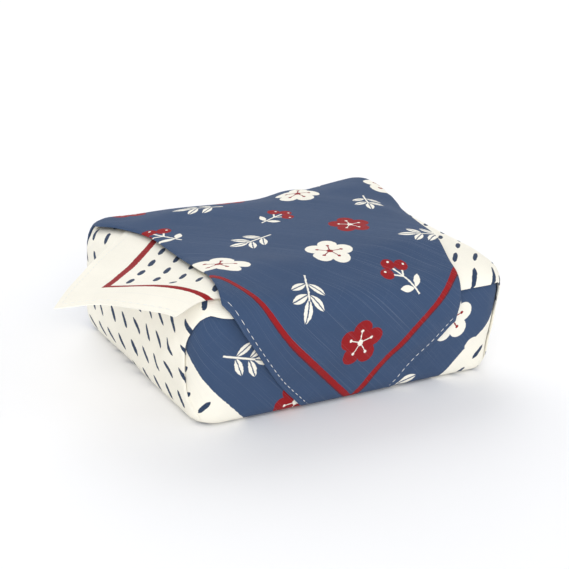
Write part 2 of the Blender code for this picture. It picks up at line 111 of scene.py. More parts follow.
# How far the last flap's sides are folded in: width, start up the back and length, in mm
LEFT_TAPER = ((14.0, 48.5, 45.0), (-8.0, 125.5, 55.0))
RIGHT_TAPER = ((29.0, 60.5, 124.0),)
# Cloth that the last flap takes up in small wrinkles on its way to the front, in mm
BACK_SLACK = 16.0
BACK_SLACK_RIGHT = 5.0
BACK_SLACK_LEFT = 12.0
BACK_SLACK_LEFT_START = 40.0
BACK_SLACK_LEFT_LENGTH = 45.0
BACK_SKEW = 2.0
SLACK_START = 20.0
SLACK_LENGTH = 150.0
# The right flap lies a little askew, so its tip comes nearer the front, in mm
RIGHT_SKEW = 10.0
RIGHT_SKEW_LENGTH = 220.0
# It is also drawn out a little, so its tip reaches further, in mm
RIGHT_STRETCH = 3.0

# Form of the tip that sticks out on the left, in mm and radians
TIP_START = -10.0
TIP_CURVE = 46.0
TIP_DROOP = 0.3
TIP_SHARE = 0.6
DROOP_START = 20.0
DROOP_BLEND = 30.0
FREE_START = 56.0
FREE_BLEND = 16.0

# Spacing of the cuts across the flat cloth, and how far the layers take to change height
ROW_SPACING = 3.2
EDGE_BLEND = 26.0
WALL_BLEND = 28.0
FOOT_BLEND = 12.0
FLARE = 0.35

MM = 0.001
ROOT2 = np.sqrt(2.0)
SIGNS = ((-1.0, -1.0), (-1.0, 1.0), (1.0, -1.0), (1.0, 1.0))
HALF_DIAGONAL = CLOTH_SIDE / ROOT2
OVER_TOP_X = BOX_HEIGHT + 2.0 * HALF_LENGTH
OVER_TOP_Y = BOX_HEIGHT + 2.0 * HALF_DEPTH
BACKFOLD = OVER_TOP_X - LEFT_TIP_BACKFOLD

# Height of each folded area in layers: on a wall, at the top edges and in mid top
COLUMNS = ("wall", "front", "left", "right", "back", "top")
LAYERS = {
    "front flap": (0.0, 0.0, 0.0, 0.0, 0.0, 0.0),
    "front left pleat": (1.0, 0.5, 1.0, 1.0, 1.0, 1.0),
    "front left turn": (0.0, 0.7, 2.0, 2.0, 2.0, 2.0),
    "left flap underfold": (1.0, 1.0, 3.0, 1.0, 1.0, 3.0),
    "left flap": (2.0, 2.0, 4.0, 1.0, 1.0, 4.0),
    "left flap backfold": (2.0, 2.0, 4.0, 2.0, 2.0, 3.0),
    "front right pleat": (1.0, 0.5, 3.0, 3.0, 1.0, 4.0),
    "front right turn": (0.0, 0.7, 4.0, 4.0, 2.0, 5.0),
    "right flap underfold": (1.0, 3.0, 4.5, 5.0, 2.0, 6.0),
    "right flap": (2.0, 4.0, 5.0, 6.0, 2.0, 7.0),
    "back right pleat": (1.0, 4.5, 5.5, 6.3, 3.0, 8.0),
    "back left pleat": (1.0, 4.5, 5.3, 6.5, 4.0, 9.0),
    "back turn": (1.0, 4.7, 5.6, 6.7, 5.0, 10.0),
    "back flap underfold": (2.0, 5.0, 6.0, 7.0, 6.0, 11.0),
    "back flap": (3.0, 6.0, 7.0, 8.0, 7.0, 12.0),
}
FRONT_HANG = 1.3
HANG_START = 13.0
UNDERSIDE_LIFT = 1.15
UNDERSIDE_REACH = 48.0

# Soft ridges and troughs, in mm: the start and the end of each one's line, its height (under
# 0 is a trough) and its width. They fade over a share of their length at both ends, and stand
# in full on layers as high as these stacks
RIDGE_FADE = 0.35
TOP_STACK = 15.0
WALL_STACK = 3.75
TOP_RIDGES = (
    (-66.0, 50.0, 14.0, 16.0, 1.0, 10.0),
    (-30.0, 58.0, 60.0, 24.0, -1.0, 9.0),
    (-74.0, 20.0, -24.0, -50.0, 0.8, 10.0),
    (0.0, 54.0, 78.0, -10.0, 0.9, 10.0),
    (-60.0, -12.0, 44.0, -54.0, -0.9, 12.0),
    (4.0, -58.0, 70.0, -16.0, 0.8, 10.0),
    (-60.0, -62.0, -144.0, -22.0, 9.0, 14.0),
    (-76.0, 8.0, -122.0, -16.0, -2.8, 9.0),
)
FRONT_RIDGES = (
    (-56.0, 50.0, -8.0, 6.0, 1.5, 4.5),
    (-30.0, 52.0, 30.0, 10.0, -1.0, 5.0),
    (60.0, 52.0, 12.0, 8.0, 1.4, 5.0),
    (-70.0, 30.0, -40.0, 4.0, 0.9, 4.0),
    (76.0, 34.0, 50.0, 4.0, 0.9, 4.0),
)
LEFT_RIDGES = (
    (-50.0, 44.0, -18.0, 6.0, 1.8, 4.0),
    (-20.0, 46.0, 10.0, 4.0, -1.2, 5.0),
    (52.0, 44.0, 20.0, 8.0, 1.7, 5.0),
    (-60.0, 20.0, 50.0, 14.0, 1.0, 6.0),
)
RIGHT_RIDGES = (
    (-48.0, 42.0, -10.0, 8.0, 1.6, 4.5),
    (50.0, 46.0, 16.0, 6.0, 1.8, 5.0),
    (-20.0, 46.0, 30.0, 10.0, -1.1, 5.0),
)
BACK_RIDGES = (
    (-70.0, 44.0, -30.0, 8.0, 1.6, 5.0),
    (70.0, 46.0, 24.0, 6.0, 1.8, 5.0),
    (-20.0, 48.0, 20.0, 8.0, -1.0, 6.0),
)

# The left flap lies lower on the right half of the top: by layers, from x, over a length
LOW_LAYERS = 2.0
LOW_START = -15.0
LOW_LENGTH = 30.0

# The top's own relief sets in so far below its edge, in mm, and is full after a run; the
# walls' relief moves only cloth that lies no deeper than this inside the box outline
RELIEF_START = 4.0
RELIEF_RUN = 14.0
SURFACE_DEPTH = 0.5

# Soft rise and fall of the top, in mm: an even wave, then single hills and hollows, each
# with its height, its place along x and y and its width along both
WAVE_HEIGHT = 1.2
WAVE_LENGTH_X = 24.0
WAVE_LENGTH_Y = 31.0
WAVE_SHIFT = 0.6
HILLS = (
    (5.0, 66.0, 58.0, 26.0, 26.0),
    (-2.4, -58.0, 8.0, 14.0, 50.0),
    (4.5, -76.0, -52.0, 30.0, 24.0),
    (3.0, 28.0, 48.0, 10.0, 18.0),
    (3.5, 78.0, 44.0, 12.0, 20.0),
)

# Cuts beside the creases of the flat cloth, in mm from the crease
TOP_CUTS = (-16.0, -8.0, -3.5, 0.0, 3.5, 8.0, 16.0)
BOX_CUTS = (-12.0, -5.5, -BEND_WIDTH, 0.0, BEND_WIDTH, 5.5, 12.0)
SHARP_CUTS = (-BEND_WIDTH, -0.5 * BEND_WIDTH, 0.0, 0.5 * BEND_WIDTH, BEND_WIDTH)
TUCK_CUTS = (-6.0, 0.0, 6.0)
LEAST_GAP = 0.55
MARGIN = 55.0
HEM_ROOM = 30.0
CUT_TOLERANCE = 0.01
FLAP_REACH = 420.0
# The back pleats' inner ends keep this clear of each other, and an underfold runs at least so far
PLEAT_GAP = 1.0
UNDERFOLD_LEAST = 1.0

# Small lengths that keep a division or a look-up away from 0
TINY = 1e-9
LEAST_WIDTH = 1e-6
NUDGE = 1e-4


def ease(x):
    """Runs smoothly from 0 to 1 as x does."""
    x = np.clip(x, 0.0, 1.0)
    return x * x * (3.0 - 2.0 * x)


def mix(a, b, share):
    return a + (b - a) * share


def round_plan(x, y):
    """Rounds the box outline: returns the moved point, its depth inside and its normal."""
    inner_x = HALF_LENGTH - PLAN_RADIUS
    inner_y = HALF_DEPTH - PLAN_RADIUS
    over_x = np.abs(x) - inner_x
    over_y = np.abs(y) - inner_y
    in_corner = (over_x > 0) & (over_y > 0)
    length = np.maximum(np.hypot(over_x, over_y), TINY)
    reach = np.maximum(over_x, over_y)
    to_x = np.where(in_corner, over_x / length, (over_x > over_y) * 1.0)
    to_y = np.where(in_corner, over_y / length, (over_x <= over_y) * 1.0)
    new_x = np.where(in_corner, inner_x + to_x * reach, np.abs(x))
    new_y = np.where(in_corner, inner_y + to_y * reach, np.abs(y))
    sign_x = np.where(x < 0, -1.0, 1.0)
    sign_y = np.where(y < 0, -1.0, 1.0)
    depth = PLAN_RADIUS - reach
    return new_x * sign_x, new_y * sign_y, depth, to_x * sign_x, to_y * sign_y


def round_box(x, y, z, beside, above):
    """Moves a point of the sharp box onto the rounded one, its layers' width outside it."""
    x, y, depth, to_x, to_y = round_plan(x, y)
    seat = np.maximum(depth, EDGE_RADIUS)
    level = np.clip(z, EDGE_RADIUS, BOX_HEIGHT - EDGE_RADIUS)
    out = seat - depth
    up = z - level
    length = np.maximum(np.hypot(out, up), TINY)
    reach = out * (EDGE_RADIUS + beside) / length - out
    return x + to_x * reach, y + to_y * reach, level + up * (EDGE_RADIUS + above) / length


def stack_height(name, x, y, z):
    """How far outside the inmost layer the named area lies, sideways and upward."""
    row = dict(zip(COLUMNS, LAYERS[name]))
    top = row["top"]
    if name in ("left flap", "left flap underfold"):
        top = top - LOW_LAYERS * ease((x - LOW_START) / LOW_LENGTH)
    near_left = ease(1.0 - (x + HALF_LENGTH) / EDGE_BLEND)
    near_right = ease(1.0 - (HALF_LENGTH - x) / EDGE_BLEND)
    near_front = ease(1.0 - (y + HALF_DEPTH) / EDGE_BLEND)
    near_back = ease(1.0 - (HALF_DEPTH - y) / EDGE_BLEND)
    layers = mix(top, row["left"], near_left)
    layers = mix(layers, row["right"], near_right)
    layers = mix(layers, row["front"], near_front)
    layers = mix(layers, row["back"], near_back)
    wall = row["wall"] * ease(z / FOOT_BLEND)
    if name in ("back flap", "back flap underfold"):
        hang = mix(FRONT_HANG, row["wall"], ease((z - HANG_START) / HANG_START))
        wall = np.where(y < 0, hang, wall)
    flare = FLARE * ease((z - BOX_HEIGHT + WALL_BLEND) / WALL_BLEND)
    beside = mix(wall, np.maximum(layers, wall), flare)
    above = np.where(z > 0.5 * BOX_HEIGHT, layers, wall)
    return np.array((beside, above)) * LAYER_PITCH


def layer_height(name, x, y, z):
    """The same for soft cloth, whose layers lie close under the outmost one."""
    own = stack_height(name, x, y, z)
    return mix(stack_height("back flap", x, y, z), own, OWN_SHARE)


def taper(side, t):
    """How far the last flap is folded in on one side, t mm up the back and over the top."""
    rows = LEFT_TAPER if side < 0 else RIGHT_TAPER
    return sum(width * ease((t - start) / length) for width, start, length in rows)


def left_lap(t):
    """Width of the left flap's lap over the front at its length t; under 0 it stops short."""
    short = LEFT_SHORT * ease(t / LEFT_SHORT_START)
    turn = np.clip((t - LEFT_SHORT_END) / (BOX_HEIGHT - LEFT_SHORT_END), 0.0, 1.0)
    short = short * np.sqrt(1.0 - turn * turn)
    return LEFT_TOP_LAP * ease((t - BOX_HEIGHT) / LEFT_TOP_RUN) - short


def right_lap(t):
    """The right flap's fold edge on the front face: along from the end, and height.

    A height over the top edge means that the fold edge stops short of the front.
    """
    wall = RIGHT_WALL_LAP * ease(t / RIGHT_LAP_START)
    start = BOX_HEIGHT - RIGHT_CORNER_HEIGHT
    finish = BOX_HEIGHT + wall + RIGHT_CORNER_WIDTH
    angle = np.clip((t - start) / (finish - start), 0.0, 1.0) * np.pi / 2.0
    along = wall + RIGHT_CORNER_WIDTH * (1.0 - np.cos(angle)) + np.maximum(t - finish, 0.0)
    height = np.minimum(t, start) + (RIGHT_CORNER_HEIGHT - RIGHT_TOP_LAP) * np.sin(angle)
    short = ease((t - RIGHT_SHORT_START) / RIGHT_SHORT_LENGTH)
    short = short - ease((t - RIGHT_SHORT_END) / RIGHT_SHORT_FADE)
    return along, height + RIGHT_SHORT * short


def lap_width(p):
    """Width of cloth that laps over the front at the flap's length p, or under 0."""
    t = np.maximum(np.abs(p) - HALF_LENGTH, 0.0)
    along, height = right_lap(t)
    seat = np.maximum(t - BOX_HEIGHT, 0.0)
    right = np.hypot(along - seat, height - np.minimum(t, BOX_HEIGHT))
    right = right * np.where(height > BOX_HEIGHT, -1.0, 1.0)
    return np.where(p < 0, left_lap(t), right)


def underfold_share(p, s):
    """How much of the lap is left s mm inside the fold edge of a side flap."""
    run = np.clip(np.abs(p) - HALF_LENGTH, UNDERFOLD_LEAST, UNDERFOLD_RUN)
    return np.clip(1.0 - s / run, 0.0, 1.0)


def side_flap_front(p, inward):
    """A point of a side flap near its front edge; inward is under 0 on the lap."""
    side = np.where(p < 0, -1.0, 1.0)
    t = np.abs(p) - HALF_LENGTH
    on_wall = t < BOX_HEIGHT
    seat_x = np.where(on_wall, HALF_LENGTH, HALF_LENGTH - (t - BOX_HEIGHT))
    seat_z = np.where(on_wall, t, BOX_HEIGHT)
    along, height = right_lap(np.maximum(t, 0.0))
    edge_x = np.where(p < 0, seat_x, HALF_LENGTH - along)
    edge_z = np.where(p < 0, seat_z - left_lap(np.maximum(t, 0.0)), height)
    share = np.clip(-inward / np.maximum(lap_width(p), LEAST_WIDTH), 0.0, 1.0)
    lapped = inward < 0
    x = np.where(lapped, mix(seat_x, edge_x, share), seat_x) * side
    y = np.where(lapped, -HALF_DEPTH, -HALF_DEPTH + inward)
    z = np.where(lapped, mix(seat_z, edge_z, share), seat_z)
    return x, y, z


def side_flap(p, q):
    """Left or right flap: up its end, over the top and past the other end."""
    side = np.where(p < 0, -1.0, 1.0)
    t = np.abs(p) - HALF_LENGTH
    inward = mix(HALF_DEPTH, -lap_width(p), -q / HALF_DEPTH)
    front_half = side_flap_front(p, inward)
    x = (HALF_LENGTH - np.maximum(t - BOX_HEIGHT, 0.0)) * side
    back_half = (x, q, np.minimum(t, BOX_HEIGHT))
    return [np.where(q < 0, a, b) for a, b in zip(front_half, back_half)]


def front_underfold(p, q):
    """The cloth folded back under a side flap along its front edge."""
    s = -q - HALF_DEPTH
    return side_flap_front(p, s - lap_width(p) * underfold_share(p, s))


def squeeze(d):
    """Keeps the inner ends of the two back pleats clear of each other."""
    spare = HALF_DIAGONAL + SHIFT_LEFT - SHIFT_FRONT - HALF_LENGTH - HALF_DEPTH
    start = 0.5 * (spare - BOX_HEIGHT)
    longest = start + 0.5 * BOX_HEIGHT
    room = HALF_LENGTH - PLEAT_GAP
    share = np.clip((room - start) / (longest - start), 0.0, 1.0)
    return np.where(d > start, start + (d - start) * share, d)


def corner_fold(early, late, fits):
    """Folds a corner's spare cloth; early and late are its mm past the two box edges.

    Returns its run along the flap folded first (back inwards), its run along the flap
    folded last and its height, each in mm from the box corner, with the area's number.
    """
    over_early = early - BOX_HEIGHT
    over_late = late - BOX_HEIGHT
    turned_under = late > early
    first_wall = ~turned_under & (over_early <= 0)
    pleat = ~turned_under & (over_early > 0) & (late < over_early)
    turn = ~turned_under & (over_early > 0) & (late >= over_early)
    last_top = turned_under & (over_late > 0)
    bent = squeeze if fits else (lambda d: d)
    along = np.where(turned_under, bent(early), bent(late))
    along = np.where(pleat, over_early, along)
    across = np.where(pleat, late, np.where(turn, over_early, 0.0))
    across = np.where(last_top, over_late, across)
    height = np.where(first_wall, early, np.where(turned_under & ~last_top, late, BOX_HEIGHT))
    return along, across, height, np.where(pleat, 0, np.where(turned_under, 2, 1))


def tip_droop(x, y):
    """How far the right flap's tip sags where nothing carries it on the left."""
    inset_x = HALF_LENGTH - TIP_START - PLAN_RADIUS
    inset_y = HALF_DEPTH - TIP_START * TIP_SHARE - PLAN_RADIUS
    out_x = np.maximum(-x - inset_x, 0.0)
    out_y = np.maximum(np.abs(y) - inset_y, 0.0)
    out = np.maximum(np.hypot(out_x, out_y) - PLAN_RADIUS, 0.0)
    curved = np.minimum(out, TIP_CURVE)
    sag = TIP_DROOP * (curved * curved / (2.0 * TIP_CURVE) + np.maximum(out - TIP_CURVE, 0.0))
    return sag * ease((-x - DROOP_START) / DROOP_BLEND)


def swell(x, y):
    """The soft rise and fall of the top, in mm."""
    rise = WAVE_HEIGHT * np.sin(x / WAVE_LENGTH_X + WAVE_SHIFT) * np.cos(y / WAVE_LENGTH_Y)
    for height, at_x, at_y, width_x, width_y in HILLS:
        rise = rise + height * np.exp(-(((x - at_x) / width_x) ** 2) - ((y - at_y) / width_y) ** 2)
    return rise


def ridge_sum(u, v, rows):
    """Adds up soft ridges and troughs, each along a straight line of the surface."""
    total = np.zeros(np.shape(u))
    for start_u, start_v, end_u, end_v, height, width in rows:
        run_u, run_v = end_u - start_u, end_v - start_v
        length = np.hypot(run_u, run_v)
        along = ((u - start_u) * run_u + (v - start_v) * run_v) / length
        aside = ((u - start_u) * run_v - (v - start_v) * run_u) / length
        fade = RIDGE_FADE * length
        ends = ease(along / fade) * ease((length - along) / fade)
        total = total + height * np.exp(-((aside / width) ** 2)) * ends
    return total


def wall_relief(x, y, z):
    """Wrinkles of the four walls, in mm outward, for their outmost layer."""
    front = ridge_sum(x, z, FRONT_RIDGES) * (y < -HALF_DEPTH + PLAN_RADIUS)
    left = ridge_sum(y, z, LEFT_RIDGES) * (x < -HALF_LENGTH + PLAN_RADIUS)
    right = ridge_sum(y, z, RIGHT_RIDGES) * (x > HALF_LENGTH - PLAN_RADIUS)
    back = ridge_sum(x, z, BACK_RIDGES) * (y > HALF_DEPTH - PLAN_RADIUS)
    return front + left + right + back


def over_box(run):
    """The path of the front flap: up the front, over the top, down the back and under it.

    Returns its place along y, its height and its run past the bottom edge of the back.
    """
    over = run - BOX_HEIGHT
    down = run - OVER_TOP_Y
    under = down - BOX_HEIGHT
    y = np.where(over < 0, -HALF_DEPTH, np.minimum(-HALF_DEPTH + over, HALF_DEPTH))
    y = np.where(under > 0, HALF_DEPTH - under, y)
    far = np.where(down > 0, np.maximum(BOX_HEIGHT - down, 0), BOX_HEIGHT)
    return y, np.where(over < 0, run, far), under


def fold(p, q):
    """Takes points of the marked-out flat cloth to the middle of the folded cloth."""
    p, q = np.broadcast_arrays(np.asarray(p, float), np.asarray(q, float))
    x, y, z = p.copy(), q.copy(), np.zeros(p.shape)
    height = np.zeros((2,) + p.shape)
    wide = np.abs(p) > HALF_LENGTH
    deep = np.abs(q) > HALF_DEPTH

    def put(mask, name, points):
        x[mask], y[mask], z[mask] = points
        height[:, mask] = layer_height(name, *points)

    # Underside, lifted a little over the tip that is tucked beneath it
    m = ~wide & ~deep
    near_tip = ease(1.0 - np.abs(p[m]) / UNDERSIDE_REACH)
    near_tip = near_tip * ease(1.0 - (q[m] + HALF_DEPTH) / UNDERSIDE_REACH)
    height[:, m] = -UNDERSIDE_LIFT * LAYER_PITCH * near_tip

    # Front flap: up the front, over the top, down inside the back, along the inside
    m = ~wide & (q < -HALF_DEPTH)
    y_m, z_m, under = over_box(-q[m] - HALF_DEPTH)
    put(m, "front flap", (p[m], y_m, z_m))
    height[:, m] -= np.where(under > 0, LAYER_PITCH, 0.0)

    # Left flap, with its tip folded back on itself over the right end
    m = (p < -HALF_LENGTH) & ~deep
    folded_p = np.maximum(p, -2.0 * (HALF_LENGTH + BACKFOLD) - p)
    folded_p = np.where(p < 0, folded_p, p)
    back = folded_p[m] > p[m]
    points = side_flap(folded_p[m], q[m])
    put(m, "left flap", points)
    raised = layer_height("left flap backfold", *points)
    height[:, m] = np.where(back, raised, height[:, m])

    # Right flap, with its tip sticking out past the left end
    m = (p > HALF_LENGTH) & ~deep
    put(m, "right flap", side_flap(p[m], q[m]))

    # Back flap: up the back, over the top, down the front and under it
    m = ~wide & (q > HALF_DEPTH)
    t = q[m] - HALF_DEPTH
    narrow = np.where(p[m] < 0, taper(-1, t), taper(1, t))
    x_m = p[m] * (1.0 - narrow / HALF_LENGTH)
    y_m, z_m, under = over_box(t)
    put(m, "back flap", (x_m, -y_m, z_m))
    ground = ease((under + EDGE_RADIUS) / EDGE_RADIUS)
    height[1][m] = mix(height[1][m], 0.0, ground)

    # Corners: the early flap's spare cloth goes round the box edge and back under the late one
    corners = (
        (-1, -1, ("front left pleat", "front left turn", "left flap underfold")),
        (1, -1, ("front right pleat", "front right turn", "right flap underfold")),
        (-1, 1, ("back left pleat", "back turn", "back flap underfold")),
        (1, 1, ("back right pleat", "back turn", "back flap underfold")),
    )
    for side, face, names in corners:
        m = wide & deep & (p * side > 0) & (q * face > 0)
        if not m.any():
            continue
        end_run = np.abs(p[m]) - HALF_LENGTH
        face_run = np.abs(q[m]) - HALF_DEPTH
        if face < 0:
            along, across, z_m, area = corner_fold(face_run, end_run, False)
            z_m = z_m - np.maximum(along - 2.0 * HALF_DEPTH, 0.0)
            along = np.minimum(along, 2.0 * HALF_DEPTH)
            lapped = front_underfold(folded_p[m], q[m])
            y_m = np.where(area == 2, lapped[1], -HALF_DEPTH + along)
            x_m = np.where(area == 2, lapped[0], side * (HALF_LENGTH - across))
            z_m = np.where(area == 2, lapped[2], z_m)
        else:
            along, across, z_m, area = corner_fold(end_run, face_run, True)
            x_m = side * (HALF_LENGTH - along - taper(side, BOX_HEIGHT + across))
            z_m = z_m - np.maximum(across - 2.0 * HALF_DEPTH, 0.0)
            y_m = np.maximum(HALF_DEPTH - across, -HALF_DEPTH)
        x[m], y[m], z[m] = x_m, y_m, z_m
        heights = [layer_height(name, x_m, y_m, z_m) for name in names]
        height[:, m] = np.choose(area, heights)
        height[:, m] -= np.where(folded_p[m] > p[m], LAYER_PITCH, 0.0)

    # Where the right flap passes the left end it is carried by nothing and sags
    free = np.where(p > HALF_LENGTH, ease((-x - FREE_START) / FREE_BLEND), 0.0)
    x_r, y_r, z_r = round_box(x, y, z, height[0], height[1])
    x_r = mix(x_r, x, free)
    y_r = mix(y_r, y - np.where(y < 0, BOX_HEIGHT - z, 0.0), free)
    z_r = mix(z_r, BOX_HEIGHT + height[1] - tip_droop(x, y), free)
    on_top = ease((z_r - BOX_HEIGHT + RELIEF_START) / RELIEF_RUN)
    ridges = ridge_sum(x_r, y_r, TOP_RIDGES) * height[1] / TOP_STACK
    z_new = z_r + (swell(x_r, y_r) + ridges) * on_top
    out = wall_relief(x_r, y_r, z_r) * np.minimum(height[0] / WALL_STACK, 1.0) * (1.0 - on_top)
    depth, to_x, to_y = round_plan(x, y)[2:]
    out = np.where(depth < SURFACE_DEPTH, out, 0.0) * (1.0 - free)
    return x_r + to_x * out, y_r + to_y * out, z_new


def soft_fold(p, q, width):
    """The folded cloth with each crease rounded over this width."""
    total = np.zeros((3,) + np.shape(p))
    steps = (-width, -0.5 * width, 0.0, 0.5 * width, width)
    for dp in steps:
        for dq in steps:
            total += np.array(fold(p + dp, q + dq))
    return total / len(steps) ** 2


def flap_lengths():
    """Cloth used from the middle of the box out along each flap, as four tables."""
    run = np.arange(0.0, FLAP_REACH, 1.0)
    tables = {}
    for name, dp, dq in (("left", -1, 0), ("right", 1, 0), ("front", 0, -1), ("back", 0, 1)):
        path = soft_fold(run * dp + NUDGE, run * dq + NUDGE, BEND_WIDTH)
        steps = np.linalg.norm(np.diff(path, axis=1), axis=0)
        tables[name] = (run, np.concatenate([[0.0], np.cumsum(steps)]))
    return tables


def to_cloth(p, q, tables):
    """Marked-out position to true position on the square cloth."""
    along = np.where(p < 0, np.interp(-p, *tables["left"]), np.interp(p, *tables["right"]))
    across = np.where(q < 0, np.interp(-q, *tables["front"]), np.interp(q, *tables["back"]))
    t = q - HALF_DEPTH
    narrow = np.where(p < 0, taper(-1, t), taper(1, t))
    share = np.minimum(np.abs(p) / HALF_LENGTH, 1.0)
    along = along - np.where(q > HALF_DEPTH, narrow * share, 0.0)
    late = ease((t - SLACK_START) / SLACK_LENGTH)
    slack = BACK_SLACK + BACK_SLACK_RIGHT * ease(0.5 + 0.5 * p / HALF_LENGTH)
    left_share = ease((-p - BACK_SLACK_LEFT_START) / BACK_SLACK_LEFT_LENGTH)
    across = across + (slack + BACK_SLACK_LEFT * left_share) * late
    s = np.maximum(-q - HALF_DEPTH, 0.0)
    share = np.minimum(np.abs(q) / HALF_DEPTH, 1.0) * underfold_share(p, s)
    side = (q < 0) & (np.abs(p) > HALF_LENGTH)
    across = across + np.where(side, lap_width(p) * share, 0.0)
    to_right = ease((p - HALF_LENGTH) / RIGHT_SKEW_LENGTH)
    skew = RIGHT_SKEW * to_right
    along = along - RIGHT_STRETCH * to_right
    along = along * np.sign(p) + SHIFT_LEFT - BACK_SKEW * late
    return along, across * np.sign(q) + SHIFT_FRONT + skew


def marks(centres, offsets):
    """Sorted positions of the cuts: bends at the creases, and plain rows between them."""
    found = sorted({c + o for c, offs in zip(centres, offsets) for o in offs})
    rows = [found[0]]
    for value in found[1:]:
        gap = value - rows[-1]
        if gap < LEAST_GAP:
            continue
        count = int(gap // ROW_SPACING)
        start = rows[-1]
        rows += [start + gap * (i + 1) / (count + 1) for i in range(count)]
        rows.append(value)
    return rows


def flat_rows():
    """Cuts across the flat cloth along p and along q."""
    reach = HALF_DIAGONAL + MARGIN
    top_x = HALF_LENGTH + BOX_HEIGHT
    far_left = -HALF_LENGTH - BACKFOLD
    far_right = HALF_LENGTH + OVER_TOP_X
    p_rows = marks(
        (-reach, far_left, -top_x, -HALF_LENGTH, 0.0, HALF_LENGTH, top_x, far_right, reach),
        ((0.0,), SHARP_CUTS, TOP_CUTS, BOX_CUTS, (0.0,), BOX_CUTS, TOP_CUTS, TOP_CUTS, (0.0,)),
    )
    top_y = HALF_DEPTH + BOX_HEIGHT
    far_y = HALF_DEPTH + OVER_TOP_Y
    under_y = far_y + BOX_HEIGHT
    centres = (-reach, -under_y, -far_y, -top_y, -HALF_DEPTH, 0.0)
    centres += (HALF_DEPTH, top_y, far_y, under_y, reach)
    low = ((0.0,), (0.0,), TOP_CUTS, TOP_CUTS, BOX_CUTS, (0.0,))
    high = (BOX_CUTS, TOP_CUTS, TOP_CUTS, TUCK_CUTS, (0.0,))
    return p_rows, marks(centres, low + high)


def cut(mesh, inside, point, normal, clear=False):
    """Cuts the faces that the test picks along one line of the flat cloth."""
    faces = [f for f in mesh.faces if inside(*f.calc_center_median()[:2])]
    edges = {e for f in faces for e in f.edges}
    verts = {v for f in faces for v in f.verts}
    bmesh.ops.bisect_plane(
        mesh,
        geom=list(verts) + list(edges) + faces,
        dist=CUT_TOLERANCE,
        plane_co=(point[0], point[1], 0.0),
        plane_no=(normal[0], normal[1], 0.0),
        clear_outer=clear,
    )


def cut_corner_creases(mesh):
    """Adds the slanting creases of the four corners, each with a cut on both sides."""
    half = BEND_WIDTH * ROOT2
    for side, face in SIGNS:

        def in_corner(x, y, side=side, face=face):
            return x * side > HALF_LENGTH and y * face > HALF_DEPTH

        early = np.array((0.0, face) if face < 0 else (side, 0.0))
        late = np.array((side, 0.0) if face < 0 else (0.0, face))
        corner = np.array((side * HALF_LENGTH, face * HALF_DEPTH))

        def past_edge(x, y, in_corner=in_corner, corner=corner, early=early):
            return in_corner(x, y) and (np.array((x, y)) - corner) @ early > BOX_HEIGHT

        for inside, run in ((in_corner, 0.0), (past_edge, BOX_HEIGHT)):
            for shift in (-half, 0.0, half):
                cut(mesh, inside, corner + early * (run + shift), early - late)


def flat_cloth(tables):
    """The square cloth as one flat mesh, cut along its creases, with the marked-out places."""
    mesh = bmesh.new()
    p_rows, q_rows = flat_rows()
    grid = [[mesh.verts.new((p, q, 0.0)) for q in q_rows] for p in p_rows]
    for i in range(len(p_rows) - 1):
        for j in range(len(q_rows) - 1):
            from_left = [abs(p + SHIFT_LEFT) for p in p_rows[i:i + 2]]
            from_front = [abs(q + SHIFT_FRONT) for q in q_rows[j:j + 2]]
            if min(from_left) + min(from_front) < HALF_DIAGONAL + HEM_ROOM:
                mesh.faces.new((grid[i][j], grid[i + 1][j], grid[i + 1][j + 1], grid[i][j + 1]))
    loose = [v for v in mesh.verts if not v.link_faces]
    bmesh.ops.delete(mesh, geom=loose, context="VERTS")
    cut_corner_creases(mesh)
    places = np.array([v.co[:2] for v in mesh.verts])
    p_true, q_true = to_cloth(places[:, 0], places[:, 1], tables)
    layer_p = mesh.verts.layers.float.new("mark_p")
    layer_q = mesh.verts.layers.float.new("mark_q")
    for vert, place, p, q in zip(mesh.verts, places, p_true, q_true):
        vert[layer_p] = place[0]
        vert[layer_q] = place[1]
        vert.co = (p, q, 0.0)
    for side, face in SIGNS:
        cut(mesh, lambda x, y: True, (side * HALF_DIAGONAL, 0.0), (side, face), clear=True)
    return mesh, layer_p, layer_q


# Print of the cloth, in mm: threads run along s and t, the two sides of the square
BORDER_INSET = 17.0
BORDER_WIDTH = 3.0
RIM_HALF_WIDTH = 0.3
QUARTER_SPREAD = 11.0
DROP_ALONG = 14.4
DROP_ACROSS = 9.6
DROP_HALF_LENGTH = 4.5
DROP_HALF_WIDTH = 1.15
DROP_MARGIN = 23.5
MOTIF_MARGIN = 22.0
TILE = 118.8

# The repeat of the print, counted from the cloth's middle: kind of motif, its middle along
# and across in mm, its turn in degrees and its size in mm
MOTIFS = (
    ("red blossom", 93.5, 93.0, 12.0, 12.0),
    ("sprig", 54.0, 92.0, 65.0, 13.0),
    ("blossom", 15.5, 94.0, 40.0, 12.5),
    ("berries", 92.0, 55.0, 200.0, 13.0),
    ("blossom", 54.0, 53.0, 30.0, 12.5),
    ("sprig", 14.5, 52.0, 120.0, 13.0),
    ("sprig", 93.0, 15.0, 150.0, 13.0),
    ("red blossom", 55.0, 15.0, 20.0, 11.5),
    ("berries", 15.0, 16.0, 290.0, 12.0),
)

